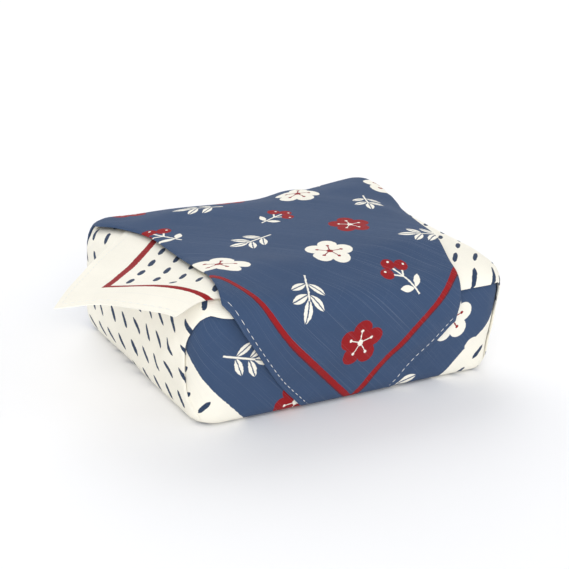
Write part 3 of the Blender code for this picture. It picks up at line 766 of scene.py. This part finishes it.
# Forms of the motifs, as shares of their size and degrees. A leaf is given by its middle, half
# length and half width, a stem by its middle and half length, a berry by its turn and reach
PETAL_AT = 0.58
PETAL_RADIUS = 0.39
MIDDLE_RADIUS = 0.42
HEART_RADIUS = 0.13
STAMEN_REACH = 0.5
STAMEN_RADIUS = 0.065
STAMEN_HALF_WIDTH = 0.022
END_LEAF = (0.62, 0.42, 0.17)
END_RIB_HALF_WIDTH = 0.025
SIDE_LEAF = (0.42, 0.38, 0.15)
SIDE_RIB_HALF_WIDTH = 0.022
SIDE_LEAVES_AT = (-0.55, 0.0)
SIDE_LEAF_TURN = 52.0
STEM_HALF_WIDTH = 0.035
SPRIG_STEM = (-0.36, 0.62)
BERRY_STEM = (-0.42, 0.44)
BERRIES = ((-40.0, 0.62), (3.0, 0.76), (46.0, 0.58))
BERRY_RADIUS = 0.27
BERRY_STEM_GAP = 0.25
SHINE_ALONG = 0.08
SHINE_ACROSS = 0.1
SHINE_RADIUS = 0.05
BERRY_LEAF = (0.34, 0.3, 0.13)
BERRY_LEAF_AT = -0.6
BERRY_LEAF_TURN = 58.0

# Looks of the cotton: pitch in mm, noise scales per mm of cloth, the other numbers are shares
THREAD_PITCH = 0.45
WANDER = 0.5
WANDER_SCALE = 0.8
# Two kinds of slubs: noise scale along s and along t, noise where they set in and where full
SLUBS = ((0.012, 3.0, 0.60, 0.74), (2.6, 0.018, 0.64, 0.80))
CROSS_SLUB_SHARE = 0.35
SLUB_PALENESS = 0.13
BASE_SHADE = 0.91
# Painted highlight on each thread's crown, as a share of full brightness
CROWN_PAINTED_HIGHLIGHT = 0.05
DYE_SHADE = 0.12
DYE_SCALE = 0.035
CREASE_SCALE = 0.06
CREASE_RELIEF = 6.0
SLUB_RELIEF = 1.4

# Hem: the running stitch that holds it, in mm
STITCH_INSET = 2.6
STITCH_PITCH = 3.2
STITCH_LENGTH = 2.1
STITCH_RADIUS = 0.14
STITCH_SIDES = 6
# One stitch, ring by ring: how far along it and how thick, as shares; how short it may come out
STITCH_RINGS = ((0.0, 0.35), (0.22, 0.9), (0.5, 1.0), (0.78, 0.9), (1.0, 0.35))
STITCH_SHORTEST = 0.4
SMOOTH_ANGLE = 60.0

# The camera of the picture, in mm, degrees and pixels of a 569 px square frame
SENSOR_WIDTH = 36.0
FRAME_PIXELS = 569.0
FOCAL_PIXELS = 1300.0
CAMERA_AZIMUTH = -33.32
CAMERA_ELEVATION = 21.79
CAMERA_DISTANCE = 649.75
CAMERA_RIGHT = -3.07
CAMERA_UP = 30.73
CAMERA_ROLL = 4.78

FLOOR_SIDE = 8000.0
# The lights: where each shines from, its spread in degrees and its share of the key power
LIGHTS = (
    ("key", (0.2, 1.5, 0.85), 65.0, 1.0),
    ("front fill", (-0.9, -1.3, 0.75), 60.0, 1.15),
    ("side fill", (1.4, -0.6, 0.6), 60.0, 0.4),
)


def linear(colour):
    """The linear values of an sRGB hex colour such as '#41587B'."""
    parts = [int(colour[i:i + 2], 16) / 255.0 for i in (1, 3, 5)]
    return [v / 12.92 if v <= 0.04045 else ((v + 0.055) / 1.055) ** 2.4 for v in parts]


def add_node(tree, kind, settings=None, inputs=None):
    """Adds a node with its settings; an input is a value or the socket that it is linked to."""
    node = tree.nodes.new(kind)
    for name, value in (settings or {}).items():
        setattr(node, name, value)
    for name, value in (inputs or {}).items():
        if isinstance(value, bpy.types.NodeSocket):
            tree.links.new(value, node.inputs[name])
        else:
            node.inputs[name].default_value = value
    return node


class Sums:
    """Writes arithmetic and simple forms as nodes of one tree."""

    def __init__(self, tree):
        self.tree = tree

    def do(self, operation, *values, clamp=False):
        settings = {"operation": operation, "use_clamp": clamp}
        node = add_node(self.tree, "ShaderNodeMath", settings, dict(enumerate(values)))
        return node.outputs[0]

    def absolute(self, value):
        return self.do("ABSOLUTE", value)

    def point(self, x, y):
        return add_node(self.tree, "ShaderNodeCombineXYZ", None, {"X": x, "Y": y}).outputs[0]

    def noise(self, place, scale, detail, dimensions="2D", **inputs):
        """Noise of this scale over the place."""
        inputs.update({"Vector": place, "Scale": scale, "Detail": detail})
        settings = {"noise_dimensions": dimensions}
        return add_node(self.tree, "ShaderNodeTexNoise", settings, inputs).outputs["Fac"]

    def below(self, value, limit, softness=0.25):
        """1 where value is under limit, 0 above it, with a soft edge."""
        gap = self.do("SUBTRACT", limit, value)
        return self.do("MULTIPLY_ADD", gap, 1.0 / softness, 0.5, clamp=True)

    def within(self, value, half, middle=0.0):
        """1 where value lies less than half away from the middle."""
        return self.below(self.absolute(self.do("SUBTRACT", value, middle)), half)

    def without(self, mask):
        return self.do("SUBTRACT", 1.0, mask)

    def both(self, *masks):
        total = masks[0]
        for mask in masks[1:]:
            total = self.do("MULTIPLY", total, mask)
        return total

    def either(self, *masks):
        total = masks[0]
        for mask in masks[1:]:
            total = self.do("MAXIMUM", total, mask)
        return total

    def distance(self, a, b, at_a=0.0, at_b=0.0):
        da = self.do("SUBTRACT", a, at_a)
        db = self.do("SUBTRACT", b, at_b)
        square = self.do("MULTIPLY_ADD", da, da, self.do("MULTIPLY", db, db))
        return self.do("SQRT", square)

    def turned(self, a, b, degrees):
        """The point's coordinates along and across a line at this angle."""
        c, s = math.cos(math.radians(degrees)), math.sin(math.radians(degrees))
        along = self.do("MULTIPLY_ADD", b, s, self.do("MULTIPLY", a, c))
        across = self.do("MULTIPLY_ADD", b, c, self.do("MULTIPLY", a, -s))
        return along, across

    def leaf(self, a, b, form, size):
        """A leaf pointed at both ends, lying along a."""
        middle, half_length, half_width = [share * size for share in form]
        run = self.do("DIVIDE", self.do("SUBTRACT", a, middle), half_length)
        room = self.do("MULTIPLY_ADD", self.do("MULTIPLY", run, run), -half_width, half_width)
        return self.below(self.absolute(b), room)

    def stem(self, a, b, form, size):
        """A straight stem lying along a."""
        middle, half_length = [share * size for share in form]
        across = self.within(b, STEM_HALF_WIDTH * size)
        return self.both(self.within(a, half_length, middle), across)

    def quarter(self, s, t, spare, softness=0.5):
        """1 in the front and back quarters of the cloth, grown by spare."""
        total = self.do("ADD", self.absolute(self.do("ADD", s, t)), QUARTER_SPREAD + spare)
        return self.below(self.absolute(self.do("SUBTRACT", s, t)), total, softness)


def blossom(sums, a, b, size):
    """Five round petals; returns the petals and the heart with its stamens."""
    angle = sums.do("ARCTAN2", b, a)
    fifth = 2.0 * math.pi / 5.0
    within = sums.absolute(sums.do("WRAP", angle, 0.5 * fifth, -0.5 * fifth))
    radius = sums.distance(a, b)
    u = sums.do("MULTIPLY", radius, sums.do("COSINE", within))
    v = sums.do("MULTIPLY", radius, sums.do("SINE", within))
    petals = sums.below(sums.distance(u, v, PETAL_AT * size), PETAL_RADIUS * size)
    middle = sums.below(radius, MIDDLE_RADIUS * size)
    heart = sums.below(radius, HEART_RADIUS * size)
    dots = sums.below(sums.distance(u, v, STAMEN_REACH * size), STAMEN_RADIUS * size)
    rays = sums.below(v, STAMEN_HALF_WIDTH * size)
    rays = sums.both(rays, sums.below(u, STAMEN_REACH * size))
    return sums.either(petals, middle), sums.either(heart, dots, rays)


def sprig(sums, a, b, size):
    """A stem with an end leaf and two pairs of side leaves, each with a bare midrib."""
    end = sums.leaf(a, b, END_LEAF, size)
    rib = sums.within(b, END_RIB_HALF_WIDTH * size)
    found = [sums.both(end, sums.without(rib)), sums.stem(a, b, SPRIG_STEM, size)]
    for place in SIDE_LEAVES_AT:
        shifted = sums.do("SUBTRACT", a, place * size)
        along, across = sums.turned(shifted, sums.absolute(b), SIDE_LEAF_TURN)
        leaf = sums.leaf(along, across, SIDE_LEAF, size)
        rib = sums.within(across, SIDE_RIB_HALF_WIDTH * size)
        found.append(sums.both(leaf, sums.without(rib)))
    return sums.either(*found)


def berries(sums, a, b, size):
    """Three berries on one forked stem with two leaves; returns the berries and the rest."""
    found, stems = [], [sums.stem(a, b, BERRY_STEM, size)]
    for turn, reach in BERRIES:
        along, across = sums.turned(a, b, turn)
        found.append(sums.below(sums.distance(along, across, reach * size), BERRY_RADIUS * size))
        half = 0.5 * (reach - BERRY_STEM_GAP)
        stems.append(sums.stem(along, across, (half, half), size))
        shine = ((reach + SHINE_ALONG) * size, SHINE_ACROSS * size)
        stems.append(sums.below(sums.distance(along, across, *shine), SHINE_RADIUS * size))
    shifted = sums.do("SUBTRACT", a, BERRY_LEAF_AT * size)
    along, across = sums.turned(shifted, sums.absolute(b), BERRY_LEAF_TURN)
    stems.append(sums.leaf(along, across, BERRY_LEAF, size))
    return sums.either(*found), sums.either(*stems)


def inside_margin(sums, s, t, margin):
    """1 where the point lies more than the margin inside the hem."""
    far = sums.do("MAXIMUM", sums.absolute(s), sums.absolute(t))
    return sums.below(far, 0.5 * CLOTH_SIDE - margin)


def motif_masks(sums, s, t):
    """Where the motifs are cream and where they are red; one that would be cut is left out."""
    cream, red = [], []
    s, t = sums.absolute(s), sums.absolute(t)
    for kind, at_s, at_t, turn, size in MOTIFS:
        a = sums.do("WRAP", sums.do("SUBTRACT", s, at_s), 0.5 * TILE, -0.5 * TILE)
        b = sums.do("WRAP", sums.do("SUBTRACT", t, at_t), 0.5 * TILE, -0.5 * TILE)
        middle = sums.do("SUBTRACT", s, a), sums.do("SUBTRACT", t, b)
        whole = sums.both(
            inside_margin(sums, *middle, MOTIF_MARGIN + size),
            sums.quarter(*middle, -2.0 * size),
        )
        a, b = sums.turned(a, b, turn)
        if kind == "sprig":
            cream.append(sums.both(whole, sprig(sums, a, b, size)))
        elif kind == "berries":
            fruit, stems = berries(sums, a, b, size)
            cream.append(sums.both(whole, stems))
            red.append(sums.both(whole, fruit, sums.without(stems)))
        else:
            petals, heart = blossom(sums, a, b, size)
            outer, inner = (cream, red) if kind == "blossom" else (red, cream)
            outer.append(sums.both(whole, petals, sums.without(heart)))
            inner.append(sums.both(whole, heart))
    return sums.either(*cream), sums.either(*red)


def drop_mask(sums, s, t):
    """Rows of small leaf-shaped drops, each row set half a step on from the last."""
    row = sums.do("FLOOR", sums.do("DIVIDE", s, DROP_ACROSS))
    half_a, half_b = 0.5 * DROP_ALONG, 0.5 * DROP_ACROSS
    shift = sums.do("MULTIPLY", sums.do("MODULO", sums.absolute(row), 2.0), half_a)
    a = sums.do("WRAP", sums.do("ADD", t, shift), half_a, -half_a)
    b = sums.do("SUBTRACT", sums.do("WRAP", s, DROP_ACROSS, 0.0), half_b)
    run = sums.do("DIVIDE", a, DROP_HALF_LENGTH)
    square = sums.do("MULTIPLY", run, run)
    blunt = sums.do("MULTIPLY", square, square)
    room = sums.do("MULTIPLY_ADD", blunt, -DROP_HALF_WIDTH, DROP_HALF_WIDTH)
    drop = sums.below(sums.absolute(b), room)
    middle = sums.do("SUBTRACT", s, b), sums.do("SUBTRACT", t, a)
    cut = sums.quarter(*middle, 2.0 * DROP_HALF_LENGTH)
    return sums.both(drop, inside_margin(sums, *middle, DROP_MARGIN), sums.without(cut))


def blend(tree, mask, under, over):
    """Lays the colour over on the colour under where the mask is 1."""
    node = add_node(tree, "ShaderNodeMix", {"data_type": "RGBA"}, {"Factor": mask})
    for name, value in (("A", under), ("B", over)):
        socket = [i for i in node.inputs if i.name == name and i.type == "RGBA"][0]
        if isinstance(value, bpy.types.NodeSocket):
            tree.links.new(value, socket)
        else:
            socket.default_value = (*value, 1.0)
    return [o for o in node.outputs if o.type == "RGBA"][0]


def new_material(name, roughness, specular=0.5):
    """A material of this roughness and shine, with its shader and the sums of its tree."""
    material = bpy.data.materials.new(name)
    material.use_nodes = True
    shader = material.node_tree.nodes["Principled BSDF"]
    shader.inputs["Roughness"].default_value = roughness
    shader.inputs["Specular IOR Level"].default_value = specular
    return material, shader, Sums(material.node_tree)


def paint(tree, shader, colour, shade):
    """Gives the shader the colour, made lighter or darker by the shade."""
    tint = add_node(tree, "ShaderNodeHueSaturation", None, {"Color": colour, "Value": shade})
    tree.links.new(tint.outputs[0], shader.inputs["Base Color"])


def emboss(tree, shader, height, strength, distance):
    """Gives the shader a fine relief; the distance is in mm."""
    inputs = {"Height": height, "Strength": strength, "Distance": distance * MM}
    bump = add_node(tree, "ShaderNodeBump", None, inputs)
    tree.links.new(bump.outputs[0], shader.inputs["Normal"])


def printed_colour(sums, settings, s, t):
    """The print: its quarters, drops and motifs, and the border line with its dark rim."""
    # The printed edges wander a little with the threads
    edge = sums.noise(sums.point(s, t), WANDER_SCALE, 2.0)
    wander = sums.do("MULTIPLY_ADD", edge, WANDER, -0.5 * WANDER)
    s, t = sums.do("ADD", s, wander), sums.do("SUBTRACT", t, wander)

    blue_here = sums.quarter(s, t, 0.0)
    inset = sums.do("MAXIMUM", sums.absolute(s), sums.absolute(t))
    inset = sums.do("SUBTRACT", 0.5 * CLOTH_SIDE, inset)
    border_inset, half_width = settings.border_inset / MM, 0.5 * settings.border_width / MM
    line = sums.within(inset, half_width, border_inset)
    rim = sums.within(inset, RIM_HALF_WIDTH, border_inset - half_width)
    cream_marks, red_marks = motif_masks(sums, s, t)

    tree = sums.tree
    sides = blend(tree, drop_mask(sums, s, t), settings.cream, settings.drop_blue)
    blue = blend(tree, cream_marks, settings.blue, settings.cream)
    blue = blend(tree, red_marks, blue, settings.red)
    colour = blend(tree, blue_here, sides, blue)
    colour = blend(tree, line, colour, settings.red)
    return blend(tree, sums.both(rim, blue_here), colour, settings.line_rim)


def slub_mask(sums, s, t):
    """Long thick streaks along the s threads, and fainter ones across them."""
    streaks = []
    for scale_s, scale_t, low, high in SLUBS:
        place = sums.point(sums.do("MULTIPLY", s, scale_s), sums.do("MULTIPLY", t, scale_t))
        noise = sums.noise(place, 1.0, 3.0, Roughness=0.6)
        inputs = {"Value": noise, "From Min": low, "From Max": high}
        spread = add_node(sums.tree, "ShaderNodeMapRange", {"clamp": True}, inputs)
        streaks.append(spread.outputs[0])
    return sums.do("MULTIPLY_ADD", streaks[1], CROSS_SLUB_SHARE, streaks[0], clamp=True)


def slub_cotton(settings):
    """Plain-woven slub cotton, printed: matt, with thick light threads along one side."""
    material, shader, sums = new_material("slub cotton", 0.88, 0.15)
    shader.inputs["Sheen Weight"].default_value = 0.04
    shader.inputs["Sheen Roughness"].default_value = 0.6
    tree = material.node_tree
    place = add_node(tree, "ShaderNodeUVMap", {"uv_map": "threads"})
    apart = add_node(tree, "ShaderNodeSeparateXYZ", None, {"Vector": place.outputs[0]})
    half = 0.5 * CLOTH_SIDE
    s, t = [sums.do("MULTIPLY_ADD", apart.outputs[i], CLOTH_SIDE, -half) for i in (0, 1)]
    threads = sums.point(s, t)
    slubs = slub_mask(sums, s, t)
    pale = sums.do("MULTIPLY", slubs, SLUB_PALENESS)
    colour = blend(tree, pale, printed_colour(sums, settings, s, t), settings.slub)

    # Weave: a painted highlight makes each thread a little lighter on its crown, and slow changes
    # of dye
    turns = 2.0 * math.pi * MM / settings.thread_pitch
    crowns = [sums.do("SINE", sums.do("MULTIPLY", along, turns)) for along in (s, t)]
    crowns = sums.do("MULTIPLY", *crowns)
    shade = sums.do("MULTIPLY_ADD", crowns, CROWN_PAINTED_HIGHLIGHT, BASE_SHADE)
    dye = sums.noise(threads, DYE_SCALE, 4.0)
    paint(tree, shader, colour, sums.do("MULTIPLY_ADD", dye, DYE_SHADE, shade))

    # Small soft creases that the folded cloth keeps from its washing
    creases = sums.noise(threads, CREASE_SCALE, 3.0, Distortion=0.6)
    relief = sums.do("MULTIPLY_ADD", creases, CREASE_RELIEF, crowns)
    relief = sums.do("MULTIPLY_ADD", slubs, SLUB_RELIEF, relief)
    emboss(tree, shader, relief, 0.35, 0.12)
    return material


def sewing_thread(settings):
    """Twisted white cotton thread: matt with a faint twist across it."""
    material, shader, sums = new_material("sewing thread cotton", 0.8)
    place = add_node(sums.tree, "ShaderNodeTexCoord").outputs["Object"]
    twist = sums.noise(place, 2600.0, 2.0, "3D")
    shade = sums.do("MULTIPLY_ADD", twist, 0.2, 0.88)
    paint(sums.tree, shader, (*settings.thread, 1.0), shade)
    emboss(sums.tree, shader, twist, 0.5, 0.05)
    return material


def studio_paper(settings):
    """Seamless pale studio paper: flat and matt with a faint tooth."""
    material, shader, sums = new_material("studio paper", 0.95, 0.1)
    place = add_node(sums.tree, "ShaderNodeTexCoord").outputs["Object"]
    emboss(sums.tree, shader, sums.noise(place, 900.0, 2.0, "3D"), 0.1, 0.1)
    shader.inputs["Base Color"].default_value = (*settings.floor_colour, 1.0)
    return material


def folded_sheet():
    """The flat mesh, its flat points and its folded points, all in one order."""
    mesh, layer_p, layer_q = flat_cloth(flap_lengths())
    bmesh.ops.triangulate(mesh, faces=mesh.faces[:], quad_method="SHORT_EDGE")
    mesh.verts.index_update()
    p = np.array([v[layer_p] for v in mesh.verts])
    q = np.array([v[layer_q] for v in mesh.verts])
    flat = np.array([v.co[:] for v in mesh.verts])
    folded = np.array(soft_fold(p, q, BEND_WIDTH)).T
    low = folded[:, 2].min() - 0.5 * CLOTH_THICKNESS
    folded[:, 2] -= low
    return mesh, flat, folded * MM


def deselect():
    for obj in bpy.context.scene.objects:
        obj.select_set(False)


def add_object(name, data):
    """Puts new data into the scene as an object, the only one that is selected."""
    obj = bpy.data.objects.new(name, data)
    bpy.context.scene.collection.objects.link(obj)
    deselect()
    obj.select_set(True)
    bpy.context.view_layer.objects.active = obj
    return obj


def add_mesh(name, mesh):
    """Turns the finished mesh into an object of this name."""
    data = bpy.data.meshes.new(name)
    mesh.to_mesh(data)
    mesh.free()
    return add_object(name, data)


def build_cloth(settings):
    """Folds the cloth, gives it its threads' coordinates and its thickness."""
    mesh, flat, folded = folded_sheet()
    threads = mesh.loops.layers.uv.new("threads")
    for face in mesh.faces:
        for loop in face.loops:
            p, q = flat[loop.vert.index][:2]
            s, t = (p + q) / ROOT2, (q - p) / ROOT2
            loop[threads].uv = (s / CLOTH_SIDE + 0.5, t / CLOTH_SIDE + 0.5)
    for vert, spot in zip(mesh.verts, folded):
        vert.co = spot
    cloth = add_mesh("wrap_sheet", mesh)
    thick = cloth.modifiers.new("thickness", "SOLIDIFY")
    thick.thickness = CLOTH_THICKNESS * MM
    thick.offset = 0.0
    bpy.ops.object.modifier_apply(modifier="thickness")
    bpy.ops.object.shade_smooth_by_angle(angle=math.radians(SMOOTH_ANGLE))
    cloth.data.materials.append(slub_cotton(settings))
    return cloth


def hem_points(pitch, length):
    """Flat positions of the stitches' two ends, all round the hem, in mm."""
    reach = 0.5 * CLOTH_SIDE - STITCH_INSET
    count = int(2.0 * reach // pitch)
    spots = []
    for side in range(4):
        for i in range(count):
            run = -reach + (i + 0.5) * 2.0 * reach / count
            ends = []
            for along in (run - 0.5 * length, run + 0.5 * length):
                s, t = ((along, reach), (reach, along), (along, -reach), (-reach, along))[side]
                ends.append(((s - t) / ROOT2, (s + t) / ROOT2))
            spots.append(ends)
    return spots


def add_stitch(mesh, start, run, normal, face):
    """Adds one stitch on this face of the cloth, as a short closed round thread."""
    lift = (0.5 * CLOTH_THICKNESS + 0.25 * STITCH_RADIUS) * MM
    aside = run.normalized().cross(normal)
    rings = []
    for share, width in STITCH_RINGS:
        middle = start + run * share + normal * face * lift * (0.5 + 0.5 * width)
        ring = []
        for corner in range(STITCH_SIDES):
            angle = 2.0 * math.pi * corner / STITCH_SIDES
            step = aside * math.cos(angle) + normal * math.sin(angle)
            ring.append(mesh.verts.new(middle + step * STITCH_RADIUS * MM * width))
        rings.append(ring)
    for low, high in zip(rings[:-1], rings[1:]):
        for corner in range(STITCH_SIDES):
            after = (corner + 1) % STITCH_SIDES
            mesh.faces.new((low[corner], low[after], high[after], high[corner]))
    mesh.faces.new(rings[0][::-1])
    mesh.faces.new(rings[-1])


def build_stitches(settings):
    """Sews the running stitch: short raised threads on both faces of the hem."""
    mesh, flat, folded = folded_sheet()
    polygons = [[v.index for v in face.verts] for face in mesh.faces]
    mesh.free()
    flat_tree = BVHTree.FromPolygons([Vector(v) for v in flat], polygons)
    places = [Vector(v) for v in folded]

    def carried(p, q):
        spot, _, index, _ = flat_tree.find_nearest(Vector((p, q, 0.0)))
        corners = polygons[index]
        before = [Vector(flat[i]) for i in corners]
        after = [places[i] for i in corners]
        normal = (after[1] - after[0]).cross(after[2] - after[0]).normalized()
        return barycentric_transform(spot, *before, *after), normal

    sewn = bmesh.new()
    for ends in hem_points(settings.stitch_pitch / MM, settings.stitch_length / MM):
        (start, normal), (stop, _) = [carried(*end) for end in ends]
        run = stop - start
        if run.length < STITCH_SHORTEST * settings.stitch_length:
            continue
        for face in (1.0, -1.0):
            add_stitch(sewn, start, run, normal, face)
    bmesh.ops.recalc_face_normals(sewn, faces=sewn.faces[:])
    stitches = add_mesh("hem_stitches", sewn)
    bpy.ops.object.shade_smooth()
    stitches.data.materials.append(sewing_thread(settings))
    return stitches


def colour(name, description, default):
    """A colour that a user may change; its default is an sRGB hex colour."""
    return bpy.props.FloatVectorProperty(
        name=name,
        description=description,
        default=linear(default),
        subtype="COLOR",
        min=0.0,
        max=1.0,
    )


def length(name, description, default, least):
    """A length that a user may change; its default and its least value are in mm."""
    return bpy.props.FloatProperty(
        name=name,
        description=description,
        default=default * MM,
        min=least * MM,
        unit="LENGTH",
        precision=5,
    )


def strength(name, description, default):
    """The strength of a light that a user may change."""
    return bpy.props.FloatProperty(name=name, description=description, default=default, min=0.0)


class FUROSHIKI_PG_cloth(bpy.types.PropertyGroup):
    """Colours, border line, weave and stitches of the wrapping cloth."""

    blue: colour("Blue", "Ground of the front and back quarters", "#3A4E6D")
    cream: colour("Cream", "Ground of the side quarters", "#F4F0E3")
    red: colour("Red", "Border line, berries and red blossoms", "#93161B")
    line_rim: colour("Line rim", "Dark outer edge of the border line", "#5A2430")
    drop_blue: colour("Drop blue", "Drops on the side quarters", "#2C3D58")
    slub: colour("Slub", "Thick light threads", "#B9C3D2")
    thread: colour("Thread", "Hem stitches", "#E8E8E4")
    border_inset: length("Border inset", "From the hem to the border line", BORDER_INSET, 0.0)
    border_width: length("Border width", "Width of the border line", BORDER_WIDTH, 0.0)
    thread_pitch: length("Thread pitch", "Step of the weave", THREAD_PITCH, 0.2)
    stitch_pitch: length("Stitch pitch", "From one stitch to the next", STITCH_PITCH, 1.0)
    stitch_length: length("Stitch length", "Length of one stitch", STITCH_LENGTH, 0.5)


class FUROSHIKI_PG_stage(bpy.types.PropertyGroup):
    """Floor and light of the studio."""

    floor_size: length("Floor size", "Side of the floor", FLOOR_SIDE, 2000.0)
    floor_colour: colour("Floor colour", "Studio paper", "#F4F4F5")
    key_power: strength("Key power", "Large soft light from behind", 1.5)
    sky_colour: colour("Sky colour", "Even light from all round, a little cool", "#FCFDFF")
    sky_strength: strength("Sky strength", "Even light from all round", 0.62)


class FUROSHIKI_OT_cloth(bpy.types.Operator):
    """Folds the printed cloth round the box shape."""

    bl_idname = "furoshiki.fold_cloth"
    bl_label = "Fold the cloth"

    def execute(self, context):
        cloth = build_cloth(context.scene.furoshiki_cloth)
        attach(cloth, "root")
        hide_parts("wrap_cloth")
        return {"FINISHED"}


class FUROSHIKI_OT_stitches(bpy.types.Operator):
    bl_idname = "furoshiki.sew_hem"
    bl_label = "Sew the hem"

    def execute(self, context):
        stitches = build_stitches(context.scene.furoshiki_cloth)
        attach(stitches, "root")
        return {"FINISHED"}


def soft_light(name, place, spread, power):
    """A distant soft light that shines from the place toward the middle of the floor."""
    light = bpy.data.lights.new(name, "SUN")
    light.angle = math.radians(spread)
    light.energy = power
    lamp = add_object(name, light)
    lamp.location = place
    lamp.rotation_euler = (-Vector(place)).to_track_quat("-Z", "Y").to_euler()


def place_camera():
    """Sets the camera where the picture was taken from."""
    azimuth, elevation = math.radians(CAMERA_AZIMUTH), math.radians(CAMERA_ELEVATION)
    level = math.cos(elevation)
    back = Vector((math.sin(azimuth) * level, -math.cos(azimuth) * level, math.sin(elevation)))
    right = Vector((math.cos(azimuth), math.sin(azimuth), 0.0))
    up = back.cross(right)
    camera = bpy.data.cameras.new("camera")
    camera.sensor_width = SENSOR_WIDTH
    camera.lens = FOCAL_PIXELS * SENSOR_WIDTH / FRAME_PIXELS
    eye = add_object("camera", camera)
    target = (right * CAMERA_RIGHT + up * CAMERA_UP) * MM
    eye.location = target + back * CAMERA_DISTANCE * MM
    eye.rotation_mode = "QUATERNION"
    roll = Quaternion((0.0, 0.0, 1.0), math.radians(CAMERA_ROLL))
    eye.rotation_quaternion = (-back).to_track_quat("-Z", "Y") @ roll
    bpy.context.scene.camera = eye


class FUROSHIKI_OT_stage(bpy.types.Operator):
    """Sets the pale floor, the soft studio light and the camera."""

    bl_idname = "furoshiki.set_stage"
    bl_label = "Set the stage"

    def execute(self, context):
        settings = context.scene.furoshiki_stage
        deselect()
        bpy.ops.mesh.primitive_plane_add(size=settings.floor_size, location=(0.0, 0.0, 0.0))
        floor = bpy.context.object
        floor.name = "floor"
        floor.data.materials.append(studio_paper(settings))
        for name, place, spread, share in LIGHTS:
            soft_light(name, place, spread, share * settings.key_power)
        world = bpy.data.worlds.new("studio")
        world.use_nodes = True
        sky = world.node_tree.nodes["Background"]
        sky.inputs["Color"].default_value = (*settings.sky_colour, 1.0)
        sky.inputs["Strength"].default_value = settings.sky_strength
        context.scene.world = world
        context.scene.view_settings.view_transform = "Standard"
        place_camera()
        return {"FINISHED"}


class FUROSHIKI_PT_panel(bpy.types.Panel):
    """Lists the settings and the steps that build the wrap."""

    bl_label = "Furoshiki wrap"
    bl_idname = "FUROSHIKI_PT_panel"
    bl_space_type = "VIEW_3D"
    bl_region_type = "UI"
    bl_category = "Furoshiki"

    def draw(self, context):
        for group in (context.scene.furoshiki_cloth, context.scene.furoshiki_stage):
            box = self.layout.box()
            for name in group.__annotations__:
                box.prop(group, name)
        for operator in OPERATORS:
            self.layout.operator(operator.bl_idname)


OPERATORS = (FUROSHIKI_OT_cloth, FUROSHIKI_OT_stitches, FUROSHIKI_OT_stage)
CLASSES = (FUROSHIKI_PG_cloth, FUROSHIKI_PG_stage, *OPERATORS, FUROSHIKI_PT_panel)


def register():
    for cls in CLASSES:
        bpy.utils.register_class(cls)
    bpy.types.Scene.furoshiki_cloth = bpy.props.PointerProperty(type=FUROSHIKI_PG_cloth)
    bpy.types.Scene.furoshiki_stage = bpy.props.PointerProperty(type=FUROSHIKI_PG_stage)


def unregister():
    del bpy.types.Scene.furoshiki_stage
    del bpy.types.Scene.furoshiki_cloth
    for cls in reversed(CLASSES):
        bpy.utils.unregister_class(cls)


def main():
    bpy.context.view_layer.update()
    register()
    bpy.ops.furoshiki.fold_cloth()
    bpy.ops.furoshiki.sew_hem()
    bpy.ops.furoshiki.set_stage()


if __name__ == "__main__":
    main()
